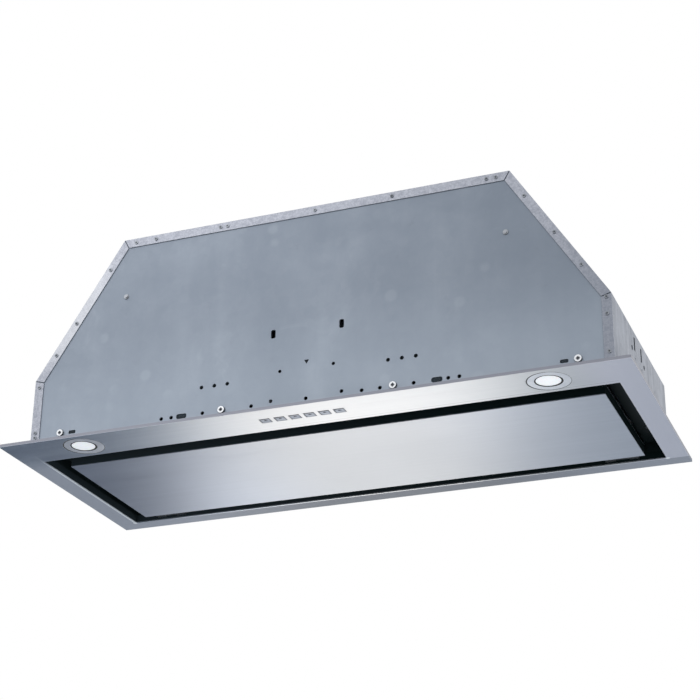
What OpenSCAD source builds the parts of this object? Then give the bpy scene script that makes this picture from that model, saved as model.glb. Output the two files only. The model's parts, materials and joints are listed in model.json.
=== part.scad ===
// Built-in range hood insert: a galvanised blower housing over a stainless flange
// frame, with a hinged perimeter panel, two grease filters, lamps and push buttons.
// X runs along the front, Y runs from front to rear, Z is up. The origin is the
// centre of the flange frame's underside.

/* [Housing] */
// Width of the housing at its foot
body_w = 820; // [780:1:860]
// Depth of the housing, over the folded edges
body_d = 313; // [305:1:340]
// Height of the housing above the underside of the flange
body_h = 308; // [300:1:340]
// Height at which the side walls turn inwards
side_wall_h = 108; // [96:1:130]
// Width of the flat top
top_w = 568; // [520:1:620]
// Thickness of the galvanised sheet
sheet_t = 1; // [0.8:0.1:1.2]
// Width of the folded edges that hold the end plates
edge_w = 13; // [11:0.5:16]

/* [Flange frame] */
// How far the flange reaches past the housing at the sides
side_overhang = 27; // [24:1:34]
// How far the flange reaches past the housing in front
front_overhang = 34; // [32:1:38]
// How far the flange reaches past the housing behind
rear_overhang = 23; // [20:1:32]
// Thickness of the stainless sheet
steel_t = 1; // [0.8:0.1:1.2]
// Height of the turned-up outer edge
hem_h = 4.3; // [3.5:0.1:6]
// Height of the turned-up edge round the opening
lip_h = 12; // [10:0.5:14]
// Depth of the bay for lamps and buttons, from the housing's front to the opening
front_bay = 35; // [33:0.5:40]
// Distance of the opening's other edges inside the housing's outer faces
opening_inset = 3; // [3:0.1:5]

/* [Perimeter panel] */
// Air gap beside the panel
side_gap = 26; // [20:0.5:32]
// Air gap in front of the panel
front_gap = 30; // [24:0.5:34]
// Air gap behind the panel
rear_gap = 18.5; // [17:0.5:22]
// Height of the panel's upturned walls
panel_h = 15; // [13:0.5:17]
// Step from the flange's underside up to the panel's
panel_step = 0.3; // [0.2:0.1:1]

/* [Lamps] */
// Distance between the lamp centres
lamp_pitch = 651; // [600:1:680]
// Distance of lamps and buttons behind the flange's front edge
control_line = 35; // [34:0.5:38]
// Radius of the lamp ring
lamp_ring_r = 28; // [26:0.5:30]
// Radius of the lamp lens
lamp_lens_r = 17.5; // [15:0.5:20]

/* [Buttons] */
// Number of push buttons
button_count = 6; // [6:1:6]
// Distance between buttons
button_pitch = 20.8; // [20:0.1:23]
// Width of a button
button_w = 14.5; // [12:0.5:15]
// Depth of a button
button_d = 13.5; // [11:0.5:14]
// Offset of the row of buttons from the middle
button_shift = -4; // [-8:1:8]

/* [Filters] */
// Height of the filters' underside
filter_z = 47.5; // [45:0.5:52]
// Thickness of a filter
filter_t = 9; // [8:0.5:11]
// Width of the filler channels beside the filters
filler_w = 29; // [24:1:34]
// How far a filter pushes back to leave its front rail
filter_push = 7.5; // [6.5:0.5:8.5]

/* [Blower] */
// Outer radius of the impeller
wheel_r = 70; // [66:1:72]
// Width of one half of the impeller
wheel_half_w = 50; // [44:1:54]
// Number of blades on each half
blade_count = 30; // [20:1:36]
// Depth of the shaft below the top
shaft_drop = 123; // [121:1:128]
// Radius of the motor shaft
shaft_r = 4; // [3:0.5:5]
// Radius of the motor
motor_r = 46; // [40:1:48]

/* [Duct] */
// Outer radius of the duct collar
collar_r = 74.5; // [70:0.5:76]
// Height of the duct collar above the housing
collar_h = 42; // [38:1:46]
// Distance of the duct's centre behind the flange's middle
duct_y = 31; // [28:1:34]

/* [Hidden] */
$fn = 48;

// One overrun for every cut
over = 0.5;
// Gap between pieces that move past each other
soft_gap = 0.3;
// Radial gap of a turning pin in its bore
run_gap = 0.05;

// Outline of the flange
flange_w = body_w + 2 * side_overhang;
flange_d = body_d + front_overhang + rear_overhang;
flange_front = -flange_d / 2;
body_front = flange_front + front_overhang;
body_rear = body_front + body_d;
plate_front = body_front + sheet_t;
plate_rear = body_rear - sheet_t;
inner_front = plate_front + sheet_t;
inner_rear = plate_rear - sheet_t;
inner_x = body_w / 2 - sheet_t;
foot_w = 12;
slope_a = atan2(body_h - side_wall_h, (body_w - top_w) / 2);
join_flange_w = 14;

// Opening in the flange
open_x = body_w / 2 - opening_inset;
open_front = body_front + front_bay;
open_rear = body_rear - opening_inset;

// Lamps and buttons in the flange
lamp_x = lamp_pitch / 2;
control_y = flange_front + control_line;
ring_gap = 0.5;
ring_step = 0.2;
lens_gap = 0.8;
lens_step = 0.5;
lens_t = 2;
lamp_body_r = 24;
lamp_body_h = 7.8;
lamp_rim_r = 31.5;
lamp_rim_t = 1.2;
lamp_wall = 1.5;
lamp_plug_w = 10;
lamp_plug_l = 12;
window_gap = 0.3;
cap_step = 0.2;
cap_top_z = 6;
cap_skirt = 1.3;
cap_skirt_t = 1;
cap_stem_w = 4;
cap_stem_top_z = 8.4;
cap_wall = 1.2;
mark_w = 5;
mark_d = 1.2;
mark_depth = 0.3;
holder_wall = 2.4;
holder_h = 11;
holder_end = 8;
board_t = 1.6;
switch_w = 6;
switch_h = 1.9;
holder_w = button_pitch * button_count + 2 * holder_end;
holder_d = button_d + 2 * cap_skirt + 2 * soft_gap + 2 * holder_wall;
holder_top = steel_t + holder_h;
notch_gap = 1;

// Screws that hold the front plate to tabs of the flange
tab_w = 12;
tab_h = 31;
plate_screw_z = 24.5;
plate_screw_inset = 46;
plate_screw_outer_x = body_w / 2 - plate_screw_inset;
plate_screw_inner_x = 121;
pan_head_r = 4.7;
pan_head_h = 2.6;
pan_shank_r = 2;
pan_shank_l = 6;
cross_w = 1.2;
cross_share = 0.62;
dome_screw_inset = 134;
dome_screw_x = body_w / 2 - dome_screw_inset;
dome_screw_drop = 90;
dome_screw_z = body_h - dome_screw_drop;
dome_head_r = 3.6;
dome_head_h = 1.8;

// Holes and slots of the front plate
low_slot_inset = 64;
low_slot_x = body_w / 2 - low_slot_inset;
low_slot_w = 11;
low_slot_h = 5;
mid_slot_x = 180;
mid_slot_w = 15;
mid_slot_h = 7;
slot_row_z = 24;
tall_slot_x = 49;
tall_slot_z = 124;
tall_slot_w = 5;
tall_slot_h = 12;
trio_x = 133;
trio_pitch = 19;
trio_z = 61.5;
trio_r = 2.3;
arrow_z = 77;
arrow_r = 3;
pair_x = 38;
pair_z = 68;
pair_r = 2;
row_hole_r = 2.2;
row_hole_shares = [-0.512, -0.476, -0.363, -0.19, 0, 0.19, 0.251, 0.363, 0.476, 0.512];
row_hole_xs = [for (share = row_hole_shares) share * body_w / 2];
raised_hole_x = 50;
raised_hole_z = 27;

// Holes of the side panels
side_slot_w = 3.5;
side_slot_h = 17;
side_slot_z = 90;
side_slot_mid_y = -8;
side_slot_pitch = 39;
side_hole_pitch = 70;
side_hole_z = 79;
side_hole_r = 2.6;
side_arrow_z = 69;
side_arrow_r = 2.6;

// Rivets along the folded edges, as shares of each straight run
top_rivet_shares = [-0.467, -0.412, -0.236, -0.217, 0.014, 0.211, 0.444, 0.467];
left_slope_rivet_shares = [0.19, 0.58, 0.81];
right_slope_rivet_shares = [0.18, 0.49, 0.76];
left_wall_rivet_shares = [0.2, 0.27, 0.92];
right_wall_rivet_shares = [0.26, 0.75, 0.97];
rivet_head_r = 2.6;
rivet_head_h = 0.9;
rivet_r = 1.6;
rivet_dimple_r = 1;
rivet_tail = 1.5;
mitre_gap = 1.4;

// Inner liner and filter rails
liner_top = 62;
lead_hole_w = 16;
lead_hole_d = 12;
filler_z = 27;
filler_wall_h = 30;
rail_t = 1;
rail_low = 40;
rail_top = 58;
front_ledge = 8;
rear_ledge = 20;
rear_cover = 12;
ledge_top = filter_z - soft_gap;
cover_gap = 0.7;
rear_cover_z = filter_z + filter_t + cover_gap;
filler_inner_x = open_x - filler_w;
centre_rail_t = 2.4;
rail_tab_w = 14;

// Filters
filter_side_gap = 1.5;
filter_mid_gap = 1;
filter_front_gap = 2.5;
filter_frame_w = 12;
filter_sheet = 1;
filter_x0 = centre_rail_t / 2 + filter_mid_gap;
filter_x1 = filler_inner_x - filter_side_gap;
filter_y0 = open_front + filter_front_gap;
spring_room = 2;
filter_y1 = open_rear - rail_t - filter_push - spring_room;
filter_mid_x = (filter_x0 + filter_x1) / 2;
mesh_columns = 18;
mesh_rows = 13;
mesh_bar = 3;
spring_t = 0.6;
spring_span = 70;
spring_pitch = 180;
spring_edge = 2;
spring_z0 = filter_z + spring_edge;
spring_z1 = filter_z + filter_t - spring_edge;
bail_inset = 43;
bail_y = filter_y0 + bail_inset;
bail_half_w = 25;
bail_drop = 21;
bail_r = 1.5;
bail_bend_r = 8;
bail_pin_drop = 3.2;
bail_z = filter_z - bail_pin_drop;
ear_t = 2;
ear_w = 7;
ear_h = 6;
bail_tip = 5;

// Perimeter panel
panel_x = open_x - side_gap;
panel_front = open_front + front_gap;
panel_rear = open_rear - rear_gap;
panel_top = panel_step + panel_h + steel_t;
backer_turn = 6;
hinge_inset = 61;
hinge_x = open_x - hinge_inset;
hinge_w = 47;
hinge_knuckle_w = 17.4;
hinge_z = 8;
hinge_r = 4;
hinge_pin_r = 2;
hinge_back_gap = 0.4;
hinge_y = open_rear - hinge_r - hinge_back_gap;
leaf_t = 1.5;
leaf_low = 4;
leaf_top = 30;
leaf_screw_r = 1.6;
moving_leaf_low = 3;
catch_inset = 72;
catch_x = open_x - catch_inset;
catch_w = 24;
catch_reach = 45;
catch_h = 12;
catch_ear_w = 9;
catch_ear_t = 3;
strike_t = 0.8;
strike_w = 22;
strike_l = 14;
catch_z = panel_top + strike_t + soft_gap;

// Blower
outlet_offset = 66;
shaft_y = duct_y - outlet_offset;
shaft_z = body_h - shaft_drop;
wheel_side_gap = 8;
scroll_half_w = wheel_half_w + wheel_side_gap;
tongue_gap = 6;
scroll_r0 = wheel_r + tongue_gap;
scroll_growth = 42;
scroll_r1 = wheel_r + scroll_growth;
tongue_a = 75;
full_turn = 360;
scroll_step = 7.5;
inlet_step = 13;
inlet_r = wheel_r - inlet_step;
bell_r = 4;
outlet_flange = 82;
outlet_flange_t = 1.5;
blade_depth = 12;
blade_in_r = wheel_r - blade_depth;
blade_t = 1;
blade_sweep = 24;
disc_t = 2;
ring_w = 8;
ring_t = 2;
hub_r = 14;
hub_half_l = 12;
motor_x0 = 14;
motor_overhang = 7;
motor_rear = scroll_half_w + motor_overhang;
motor_bell_r = 19.5;
motor_bell_l = 10;
motor_band_w = 12;
motor_band_step = 1.5;
shaft_tail = 14;
shaft_in_motor = 36;
grommet_r = 6;
grommet_hole_r = 2.5;
grommet_step = 2;
grommet_circle_r = wheel_r + grommet_step;
bracket_t = 2;
bracket_ring_r = 50;
bracket_arm_w = 14;

// Duct collar and damper
collar_wall = 1.5;
collar_base_r = 90;
collar_base_t = 1.5;
duct_hole_r = collar_r - sheet_t / 2;
collar_top = body_h + collar_h;
damper_rise = 22;
damper_z = body_h + damper_rise;
flap_gap = 1;
flap_t = 1;
knuckle_r = 2.8;
damper_pin_r = 1.5;
damper_pin_end = collar_r - collar_wall - soft_gap;
seat_w = 4;
seat_t = 2;
knuckle_shares = [-1, -0.5, 0, 0.5, 1];
base_screw_r = 2;
base_screw_circle_r = 82.5;
base_head_r = 4;
base_head_h = 2.2;

// Electrical parts
box_inset = 80;
box_w = 140;
box_x0 = box_inset - body_w / 2;
box_x1 = box_x0 + box_w;
box_h = 94;
box_ear_h = 20;
ear_screw_inset = 8;
box_z1 = dome_screw_z + ear_screw_inset - box_ear_h;
box_z0 = box_z1 - box_h;
box_depth = 45;
box_ear_w = 18;
standoff_r = 3;
standoff_l = 8;
standoff_inset = 10;
lid_turn = 8;
part_l = 34;
part_w = 26;
part_h = 18;
relay_w = 16;
terminal_l = 30;
terminal_d = 18;
terminal_h = 15;
terminal_ways = 4;
driver_l = 100;
driver_inset = 120;
driver_x0 = body_w / 2 - driver_inset - driver_l;
driver_h = 40;
driver_drop = 28;
driver_z0 = dome_screw_z - driver_drop - driver_h;
driver_depth = 26;
can_r = 16;
can_l = 60;
can_x0 = 90;
can_z = 120;
can_gap = 3;
can_y = inner_front + can_r + can_gap;
clamp_w = 16;
clamp_t = 1.5;
clamp_foot = 14;
gland_x = -180;
gland_y = 60;
gland_bore_r = 4.5;
gland_r = 8;
gland_nut_r = 13;
gland_nut_h = 6;
gland_body_h = 16;
gland_cap_share = 0.8;
lead_t = 1.4;
lead_w = 10;
lead_inset = 22;
lead_x = button_shift - holder_w / 2 + lead_inset;
lead_bend = 8;
lead_drop = 20;
lead_z = box_z0 - lead_drop;
lead_end_inset = 24;
lead_end_x = box_x1 - lead_end_inset;
lead_back = 1;

// Box between two corners
module slab(x0, x1, y0, y1, z0, z1) {
    translate([x0, y0, z0]) cube([x1 - x0, y1 - y0, z1 - z0]);
}

// Profile in X and Z, carried along Y
module xz_prism(y0, y1) {
    translate([0, y1, 0]) rotate([90, 0, 0]) linear_extrude(height = y1 - y0) children();
}

// Profile in Y and Z, carried along X
module yz_prism(x0, x1) {
    translate([x0, 0, 0]) rotate([90, 0, 90]) linear_extrude(height = x1 - x0) children();
}

module rod_x(y, z, r, x0, x1) {
    translate([x0, y, z]) rotate([0, 90, 0]) cylinder(r = r, h = x1 - x0);
}

module rod_y(x, z, r, y0, y1) {
    translate([x, y1, z]) rotate([90, 0, 0]) cylinder(r = r, h = y1 - y0);
}

module rod_z(x, y, r, z0, z1) {
    translate([x, y, z0]) cylinder(r = r, h = z1 - z0);
}

module both_sides() {
    children();
    mirror([1, 0, 0]) children();
}

// Slot with cut corners, along Y
module slot_y(x, z, w, h, y0, y1) {
    c = min(w, h) / 4;
    xz_prism(y0, y1) translate([x, z]) polygon([
        [w / 2, h / 2 - c], [w / 2 - c, h / 2], [c - w / 2, h / 2], [-w / 2, h / 2 - c],
        [-w / 2, c - h / 2], [c - w / 2, -h / 2], [w / 2 - c, -h / 2], [w / 2, c - h / 2]]);
}

// Upright wall of thickness t round a rectangle with the given inner edges
module wall_ring(x, y0, y1, z0, z1, t) {
    difference() {
        slab(-x - t, x + t, y0 - t, y1 + t, z0, z1);
        slab(-x, x, y0, y1, z0 - over, z1 + over);
    }
}

// Right half of the housing's outline in X and Z, moved inwards by t
function shell_right(t) = [
    [body_w / 2 - t, steel_t],
    [body_w / 2 - t, side_wall_h - t * tan((90 - slope_a) / 2)],
    [top_w / 2 - t * tan(slope_a / 2), body_h - t]
];
function flip_x(p) = [-p[0], p[1]];
function shell_outline(t) =
    let (r = shell_right(t))
    [r[0], r[1], r[2], flip_x(r[2]), flip_x(r[1]), flip_x(r[0])];

// Places of the rivets on the folded edges
function blend_point(a, b, share) = a + (b - a) * share;
edge_line = shell_right(edge_w / 2);
function slope_point(share) = blend_point(edge_line[2], edge_line[1], share);
function wall_point(share) = blend_point(edge_line[0], edge_line[1], share);
top_rivets = [for (s = top_rivet_shares) [s * top_w, edge_line[2][1]]];
right_rivets = concat([for (s = right_slope_rivet_shares) slope_point(s)],
    [for (s = right_wall_rivet_shares) wall_point(s)]);
left_rivets = concat([for (s = left_slope_rivet_shares) flip_x(slope_point(s))],
    [for (s = left_wall_rivet_shares) flip_x(wall_point(s))]);
all_rivets = concat(top_rivets, right_rivets, left_rivets);

module rivet_holes(points, y0, y1) {
    for (p = points) {
        rod_y(p[0], p[1], rivet_r, y0 - over, y1 + over);
    }
}

function button_x(i) = button_shift + (i - (button_count + 1) / 2) * button_pitch;

plate_screw_xs = [-plate_screw_outer_x, -plate_screw_inner_x, plate_screw_inner_x, plate_screw_outer_x];

// Stainless frame with its opening, hems, lamp holes and button windows
module flange_frame() {
    color("#b9bcc2")
    difference() {
        union() {
            slab(-flange_w / 2, flange_w / 2, flange_front, -flange_front, 0, steel_t);
            wall_ring(flange_w / 2 - steel_t, flange_front + steel_t, -flange_front - steel_t, 0, hem_h, steel_t);
            wall_ring(open_x, open_front, open_rear, 0, lip_h, steel_t);
            for (x = plate_screw_xs) {
                slab(x - tab_w / 2, x + tab_w / 2, inner_front, inner_front + steel_t, 0, steel_t + tab_h);
            }
        }
        slab(-open_x, open_x, open_front, open_rear, -over, lip_h + over);
        both_sides() rod_z(lamp_x, control_y, lamp_ring_r + ring_gap, -over, steel_t + over);
        for (i = [1:button_count]) {
            slab(button_x(i) - button_w / 2 - window_gap, button_x(i) + button_w / 2 + window_gap,
                control_y - button_d / 2 - window_gap, control_y + button_d / 2 + window_gap,
                -over, steel_t + over);
        }
        for (x = plate_screw_xs) {
            rod_y(x, plate_screw_z, pan_shank_r, inner_front - over, inner_front + steel_t + over);
        }
    }
}

// Cuts that let the lamps and the button holder pass under the front plate
module bay_notches(y0, y1) {
    both_sides() slab(lamp_x - lamp_rim_r - notch_gap, lamp_x + lamp_rim_r + notch_gap,
        y0, y1, 0, steel_t + lamp_body_h + notch_gap);
    slab(button_shift - holder_w / 2 - notch_gap, button_shift + holder_w / 2 + notch_gap,
        y0, y1, 0, holder_top + board_t + 2 * notch_gap);
}

module front_plate() {
    y0 = plate_front - over;
    y1 = inner_front + over;
    color("#9aa8b4")
    difference() {
        xz_prism(plate_front, inner_front) polygon(shell_outline(sheet_t));
        bay_notches(y0, y1);
        rivet_holes(all_rivets, plate_front, inner_front);
        for (x = plate_screw_xs) {
            rod_y(x, plate_screw_z, pan_shank_r, y0, y1);
        }
        for (s = [-1, 1]) {
            rod_y(s * dome_screw_x, dome_screw_z, pan_shank_r, y0, y1);
            slot_y(s * low_slot_x, slot_row_z, low_slot_w, low_slot_h, y0, y1);
            slot_y(s * mid_slot_x, slot_row_z, mid_slot_w, mid_slot_h, y0, y1);
            slot_y(s * tall_slot_x, tall_slot_z, tall_slot_w, tall_slot_h, y0, y1);
            rod_y(s * pair_x, pair_z, pair_r, y0, y1);
            rod_y(s * raised_hole_x, raised_hole_z, row_hole_r, y0, y1);
            for (k = [-1:1]) {
                rod_y(s * trio_x + k * trio_pitch, trio_z, trio_r, y0, y1);
            }
        }
        for (x = row_hole_xs) {
            rod_y(x, slot_row_z, row_hole_r, y0, y1);
        }
        translate([0, y1, arrow_z]) rotate([90, 90, 0]) cylinder(r = arrow_r, h = y1 - y0, $fn = 3);
    }
}

module rear_plate() {
    y0 = inner_rear - over;
    y1 = plate_rear + over;
    color("#9aa8b4")
    difference() {
        union() {
            xz_prism(inner_rear, plate_rear) polygon(shell_outline(sheet_t));
            slab(-inner_x + foot_w, inner_x - foot_w, inner_rear, body_rear + foot_w, steel_t, steel_t + sheet_t);
        }
        rivet_holes(all_rivets, inner_rear, plate_rear);
        for (s = [-1, 1]) {
            for (k = [-1:1]) {
                rod_y(s * trio_x + k * trio_pitch, trio_z, trio_r, y0, y1);
            }
        }
        for (x = row_hole_xs) {
            rod_y(x, slot_row_z, row_hole_r, y0, y1);
        }
    }
}

// Notch between two folded edges, along the line from the outer to the inner corner
module mitre_cut(outer, inner) {
    a = atan2(inner[1] - outer[1], inner[0] - outer[0]);
    translate(outer) rotate(a) translate([sheet_t, -mitre_gap / 2]) square([2 * edge_w, mitre_gap]);
}

// Folded edge of one side panel, drawn in X and Z
module side_edge_shape() {
    outer = shell_right(0);
    inner = shell_right(edge_w);
    difference() {
        polygon([outer[0], outer[1], outer[2], inner[2], inner[1], inner[0]]);
        mitre_cut(outer[1], inner[1]);
        mitre_cut(outer[2], inner[2]);
    }
}

module side_edges(rivets) {
    difference() {
        union() {
            xz_prism(body_front, plate_front) side_edge_shape();
            xz_prism(plate_rear, body_rear) side_edge_shape();
        }
        rivet_holes(rivets, body_front, body_rear);
    }
}

// Right side: foot, upright wall, slope, joining flange and folded edges
module side_panel(rivets) {
    outer = shell_right(0);
    inner = shell_right(sheet_t);
    run_x = sheet_t * cos(slope_a) / sin(slope_a);
    difference() {
        union() {
            xz_prism(plate_front, plate_rear)
                polygon([outer[0], outer[1], outer[2], inner[2], inner[1], inner[0]]);
            side_edges(rivets);
            slab(inner_x, body_w / 2 + foot_w, plate_front, plate_rear, steel_t, steel_t + sheet_t);
            xz_prism(inner_front, inner_rear) polygon([
                [inner[2][0] + sheet_t / 2, inner[2][1]],
                [inner[2][0] + sheet_t / 2 + run_x, inner[2][1] - sheet_t],
                [inner[2][0] - join_flange_w, inner[2][1] - sheet_t],
                [inner[2][0] - join_flange_w, inner[2][1]]]);
        }
        for (s = [-1, 1]) {
            slot_y_mid = side_slot_mid_y + s * side_slot_pitch / 2;
            slab(inner_x - over, body_w / 2 + over, slot_y_mid - side_slot_w / 2, slot_y_mid + side_slot_w / 2,
                side_slot_z - side_slot_h / 2, side_slot_z + side_slot_h / 2);
            rod_x(side_slot_mid_y + s * side_hole_pitch / 2, side_hole_z, side_hole_r,
                inner_x - over, body_w / 2 + over);
            translate([inner_x - over, slot_y_mid, side_arrow_z]) rotate([0, 90, 0])
                cylinder(r = side_arrow_r, h = sheet_t + 2 * over, $fn = 3);
        }
    }
}

module side_panel_right() {
    color("#a9adb6") side_panel(right_rivets);
}

module side_panel_left() {
    color("#a9adb6") mirror([1, 0, 0]) side_panel([for (p = left_rivets) flip_x(p)]);
}

// Edge of the top panel between the two upper mitres, drawn in X and Z
module top_edge_shape() {
    outer = shell_right(0);
    inner = shell_right(edge_w);
    difference() {
        polygon([outer[2], inner[2], flip_x(inner[2]), flip_x(outer[2])]);
        mitre_cut(outer[2], inner[2]);
        mitre_cut(flip_x(outer[2]), flip_x(inner[2]));
    }
}

module top_panel() {
    outer = shell_right(0);
    inner = shell_right(sheet_t);
    color("#a9adb6")
    difference() {
        union() {
            xz_prism(plate_front, plate_rear) polygon([outer[2], inner[2], flip_x(inner[2]), flip_x(outer[2])]);
            xz_prism(body_front, plate_front) top_edge_shape();
            xz_prism(plate_rear, body_rear) top_edge_shape();
        }
        rivet_holes(top_rivets, body_front, body_rear);
        rod_z(0, duct_y, duct_hole_r, body_h - sheet_t - over, body_h + over);
        rod_z(gland_x, gland_y, gland_r, body_h - sheet_t - over, body_h + over);
        base_screws_at() rod_z(0, 0, base_screw_r, body_h - sheet_t - over, body_h + over);
    }
}

// Four screw places round the duct
module base_screws_at() {
    for (a = [45:90:315]) {
        translate([base_screw_circle_r * cos(a), duct_y + base_screw_circle_r * sin(a), 0]) children();
    }
}

// Black liner between the opening and the filters, with a flange that closes the front bay
module inner_liner() {
    color("#1c1f22")
    difference() {
        union() {
            wall_ring(open_x, open_front, open_rear, lip_h, liner_top, sheet_t);
            slab(-inner_x, inner_x, inner_front, open_rear + sheet_t, liner_top - sheet_t, liner_top);
        }
        slab(-open_x, open_x, open_front, open_rear, lip_h - over, liner_top + over);
        slab(lead_x - lead_hole_w / 2, lead_x + lead_hole_w / 2, inner_front + lead_back,
            inner_front + lead_back + lead_hole_d, liner_top - sheet_t - over, liner_top + over);
    }
}

// Channels that fill the space beside the filters
module side_fillers() {
    color("#33373b")
    both_sides() difference() {
        slab(filler_inner_x, open_x, open_front, open_rear, filler_z, filler_z + filler_wall_h);
        slab(filler_inner_x + rail_t, open_x - rail_t, open_front - over, open_rear + over,
            filler_z + rail_t, filler_z + filler_wall_h + over);
    }
}

module filter_rail_front() {
    color("#3a3e42")
    union() {
        slab(-filler_inner_x, filler_inner_x, open_front, open_front + rail_t, rail_low, rail_top);
        slab(-filler_inner_x, filler_inner_x, open_front, open_front + rail_t + front_ledge,
            ledge_top - rail_t, ledge_top);
    }
}

module filter_rail_rear() {
    color("#3a3e42")
    union() {
        slab(-filler_inner_x, filler_inner_x, open_rear - rail_t, open_rear, rail_low, rear_cover_z + rail_t);
        slab(-filler_inner_x, filler_inner_x, open_rear - rail_t - rear_ledge, open_rear,
            ledge_top - rail_t, ledge_top);
        slab(-filler_inner_x, filler_inner_x, open_rear - rail_t - rear_cover, open_rear,
            rear_cover_z, rear_cover_z + rail_t);
    }
}

// Strip between the two filters, with a tab at its front end
module centre_rail() {
    color("#3a3e42")
    union() {
        slab(-centre_rail_t / 2, centre_rail_t / 2, open_front + rail_t, open_rear - rail_t, ledge_top, rear_cover_z);
        slab(-centre_rail_t / 2, centre_rail_t / 2, open_front + rail_t, open_front + rail_t + rail_tab_w,
            rear_cover_z - over, rail_top);
    }
}

// Bowed leaf behind a filter
module leaf_spring() {
    rise = filter_push + spring_room - soft_gap;
    bow_r = (pow(spring_span / 2, 2) + pow(rise, 2)) / (2 * rise);
    intersection() {
        slab(-spring_span, spring_span, -2 * rise, 0, spring_z0, spring_z1);
        translate([0, bow_r - rise, 0]) difference() {
            rod_z(0, 0, bow_r, spring_z0 - over, spring_z1 + over);
            rod_z(0, 0, bow_r - spring_t, spring_z0 - 2 * over, spring_z1 + 2 * over);
        }
    }
}

module filter_springs() {
    color("#c9ccd0")
    both_sides() for (s = [-1, 1]) {
        translate([filter_mid_x + s * spring_pitch / 2, open_rear - rail_t, 0]) leaf_spring();
    }
}

// Aluminium channel round one filter, with two ears for the bail
module filter_frame(s) {
    zc0 = filter_z + filter_sheet;
    zc1 = filter_z + filter_t - filter_sheet;
    mid = s * filter_mid_x;
    half = (filter_x1 - filter_x0) / 2;
    difference() {
        union() {
            slab(mid - half, mid + half, filter_y0, filter_y1, filter_z, filter_z + filter_t);
            for (e = [-1, 1]) {
                ear_x = mid + e * (bail_half_w - bail_tip);
                slab(ear_x - ear_t / 2, ear_x + ear_t / 2, bail_y - ear_w / 2, bail_y + ear_w / 2,
                    filter_z - ear_h, filter_z);
            }
            slab(mid - bail_half_w, mid + bail_half_w, bail_y - ear_w, bail_y + ear_w, filter_z, zc0);
        }
        slab(mid - half + filter_sheet, mid + half - filter_sheet, filter_y0 + filter_sheet,
            filter_y1 - filter_sheet, zc0, zc1);
        difference() {
            slab(mid - half + filter_frame_w, mid + half - filter_frame_w, filter_y0 + filter_frame_w,
                filter_y1 - filter_frame_w, filter_z - over, filter_z + filter_t + over);
            slab(mid - bail_half_w, mid + bail_half_w, filter_y0, bail_y + ear_w, filter_z - 2 * over, zc0);
        }
        for (e = [-1, 1]) {
            ear_x = mid + e * (bail_half_w - bail_tip);
            rod_x(bail_y, bail_z, bail_r + run_gap, ear_x - ear_t, ear_x + ear_t);
        }
    }
}

module filter_frame_left() {
    color("#c3c6ca") filter_frame(-1);
}

module filter_frame_right() {
    color("#c3c6ca") filter_frame(1);
}

// Perforated core of one filter
module filter_mesh(s) {
    zc0 = filter_z + filter_sheet;
    zc1 = filter_z + filter_t - filter_sheet;
    mid = s * filter_mid_x;
    half = (filter_x1 - filter_x0) / 2 - filter_sheet;
    y0 = filter_y0 + filter_sheet;
    y1 = filter_y1 - filter_sheet;
    win_x = half - filter_frame_w;
    win_y0 = y0 + filter_frame_w;
    win_y1 = y1 - filter_frame_w;
    pitch_x = 2 * win_x / mesh_columns;
    pitch_y = (win_y1 - win_y0) / mesh_rows;
    translate([0, 0, zc0]) linear_extrude(height = zc1 - zc0) difference() {
        translate([mid - half, y0]) square([2 * half, y1 - y0]);
        for (i = [0:mesh_columns - 1]) {
            for (j = [0:mesh_rows - 1]) {
                cx = mid - win_x + (i + 1 / 2) * pitch_x;
                cy = win_y0 + (j + 1 / 2) * pitch_y;
                hx = (pitch_x - mesh_bar) / 2;
                hy = (pitch_y - mesh_bar) / 2;
                polygon([[cx - hx, cy], [cx, cy - hy], [cx + hx, cy], [cx, cy + hy]]);
            }
        }
    }
}

module filter_mesh_left() {
    color("#b4b8bd") filter_mesh(-1);
}

module filter_mesh_right() {
    color("#b4b8bd") filter_mesh(1);
}

// Wire bail that hangs from the ears of a filter
module filter_bail(s) {
    mid = s * filter_mid_x;
    low = bail_z - bail_drop;
    for (e = [-1, 1]) {
        x = mid + e * bail_half_w;
        tip = mid + e * (bail_half_w - bail_tip - ear_t);
        rod_x(bail_y, bail_z, bail_r, min(x, tip), max(x, tip));
        translate([x, bail_y, bail_z]) sphere(r = bail_r);
        rod_z(x, bail_y, bail_r, low + bail_bend_r, bail_z);
        translate([x - e * bail_bend_r, bail_y, low + bail_bend_r]) rotate([90, 0, 0])
            rotate([0, 0, e > 0 ? 270 : 180]) rotate_extrude(angle = 90) translate([bail_bend_r, 0]) circle(r = bail_r);
    }
    rod_x(bail_y, low, bail_r, mid - bail_half_w + bail_bend_r, mid + bail_half_w - bail_bend_r);
}

module filter_bail_left() {
    color("#b0b4b8") filter_bail(-1);
}

module filter_bail_right() {
    color("#b0b4b8") filter_bail(1);
}

// Hinge leaves on the liner, with an end knuckle on each side
module fixed_hinge_leaves() {
    color("#aab4c0")
    both_sides() difference() {
        union() {
            slab(hinge_x - hinge_w / 2, hinge_x + hinge_w / 2, open_rear - leaf_t, open_rear, leaf_low, leaf_top);
            rod_x(hinge_y, hinge_z, hinge_r, hinge_x - hinge_w / 2, hinge_x + hinge_w / 2);
        }
        slab(hinge_x - hinge_knuckle_w / 2 - soft_gap, hinge_x + hinge_knuckle_w / 2 + soft_gap,
            hinge_y - 2 * hinge_r, open_rear + over, hinge_z - 2 * hinge_r, hinge_z + hinge_r + leaf_t);
        rod_x(hinge_y, hinge_z, hinge_pin_r, hinge_x - hinge_w, hinge_x + hinge_w);
        for (e = [-1, 1]) {
            rod_y(hinge_x + e * hinge_w / 3, (hinge_z + leaf_top + hinge_r) / 2, leaf_screw_r,
                open_rear - leaf_t - over, open_rear + over);
        }
    }
}

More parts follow.
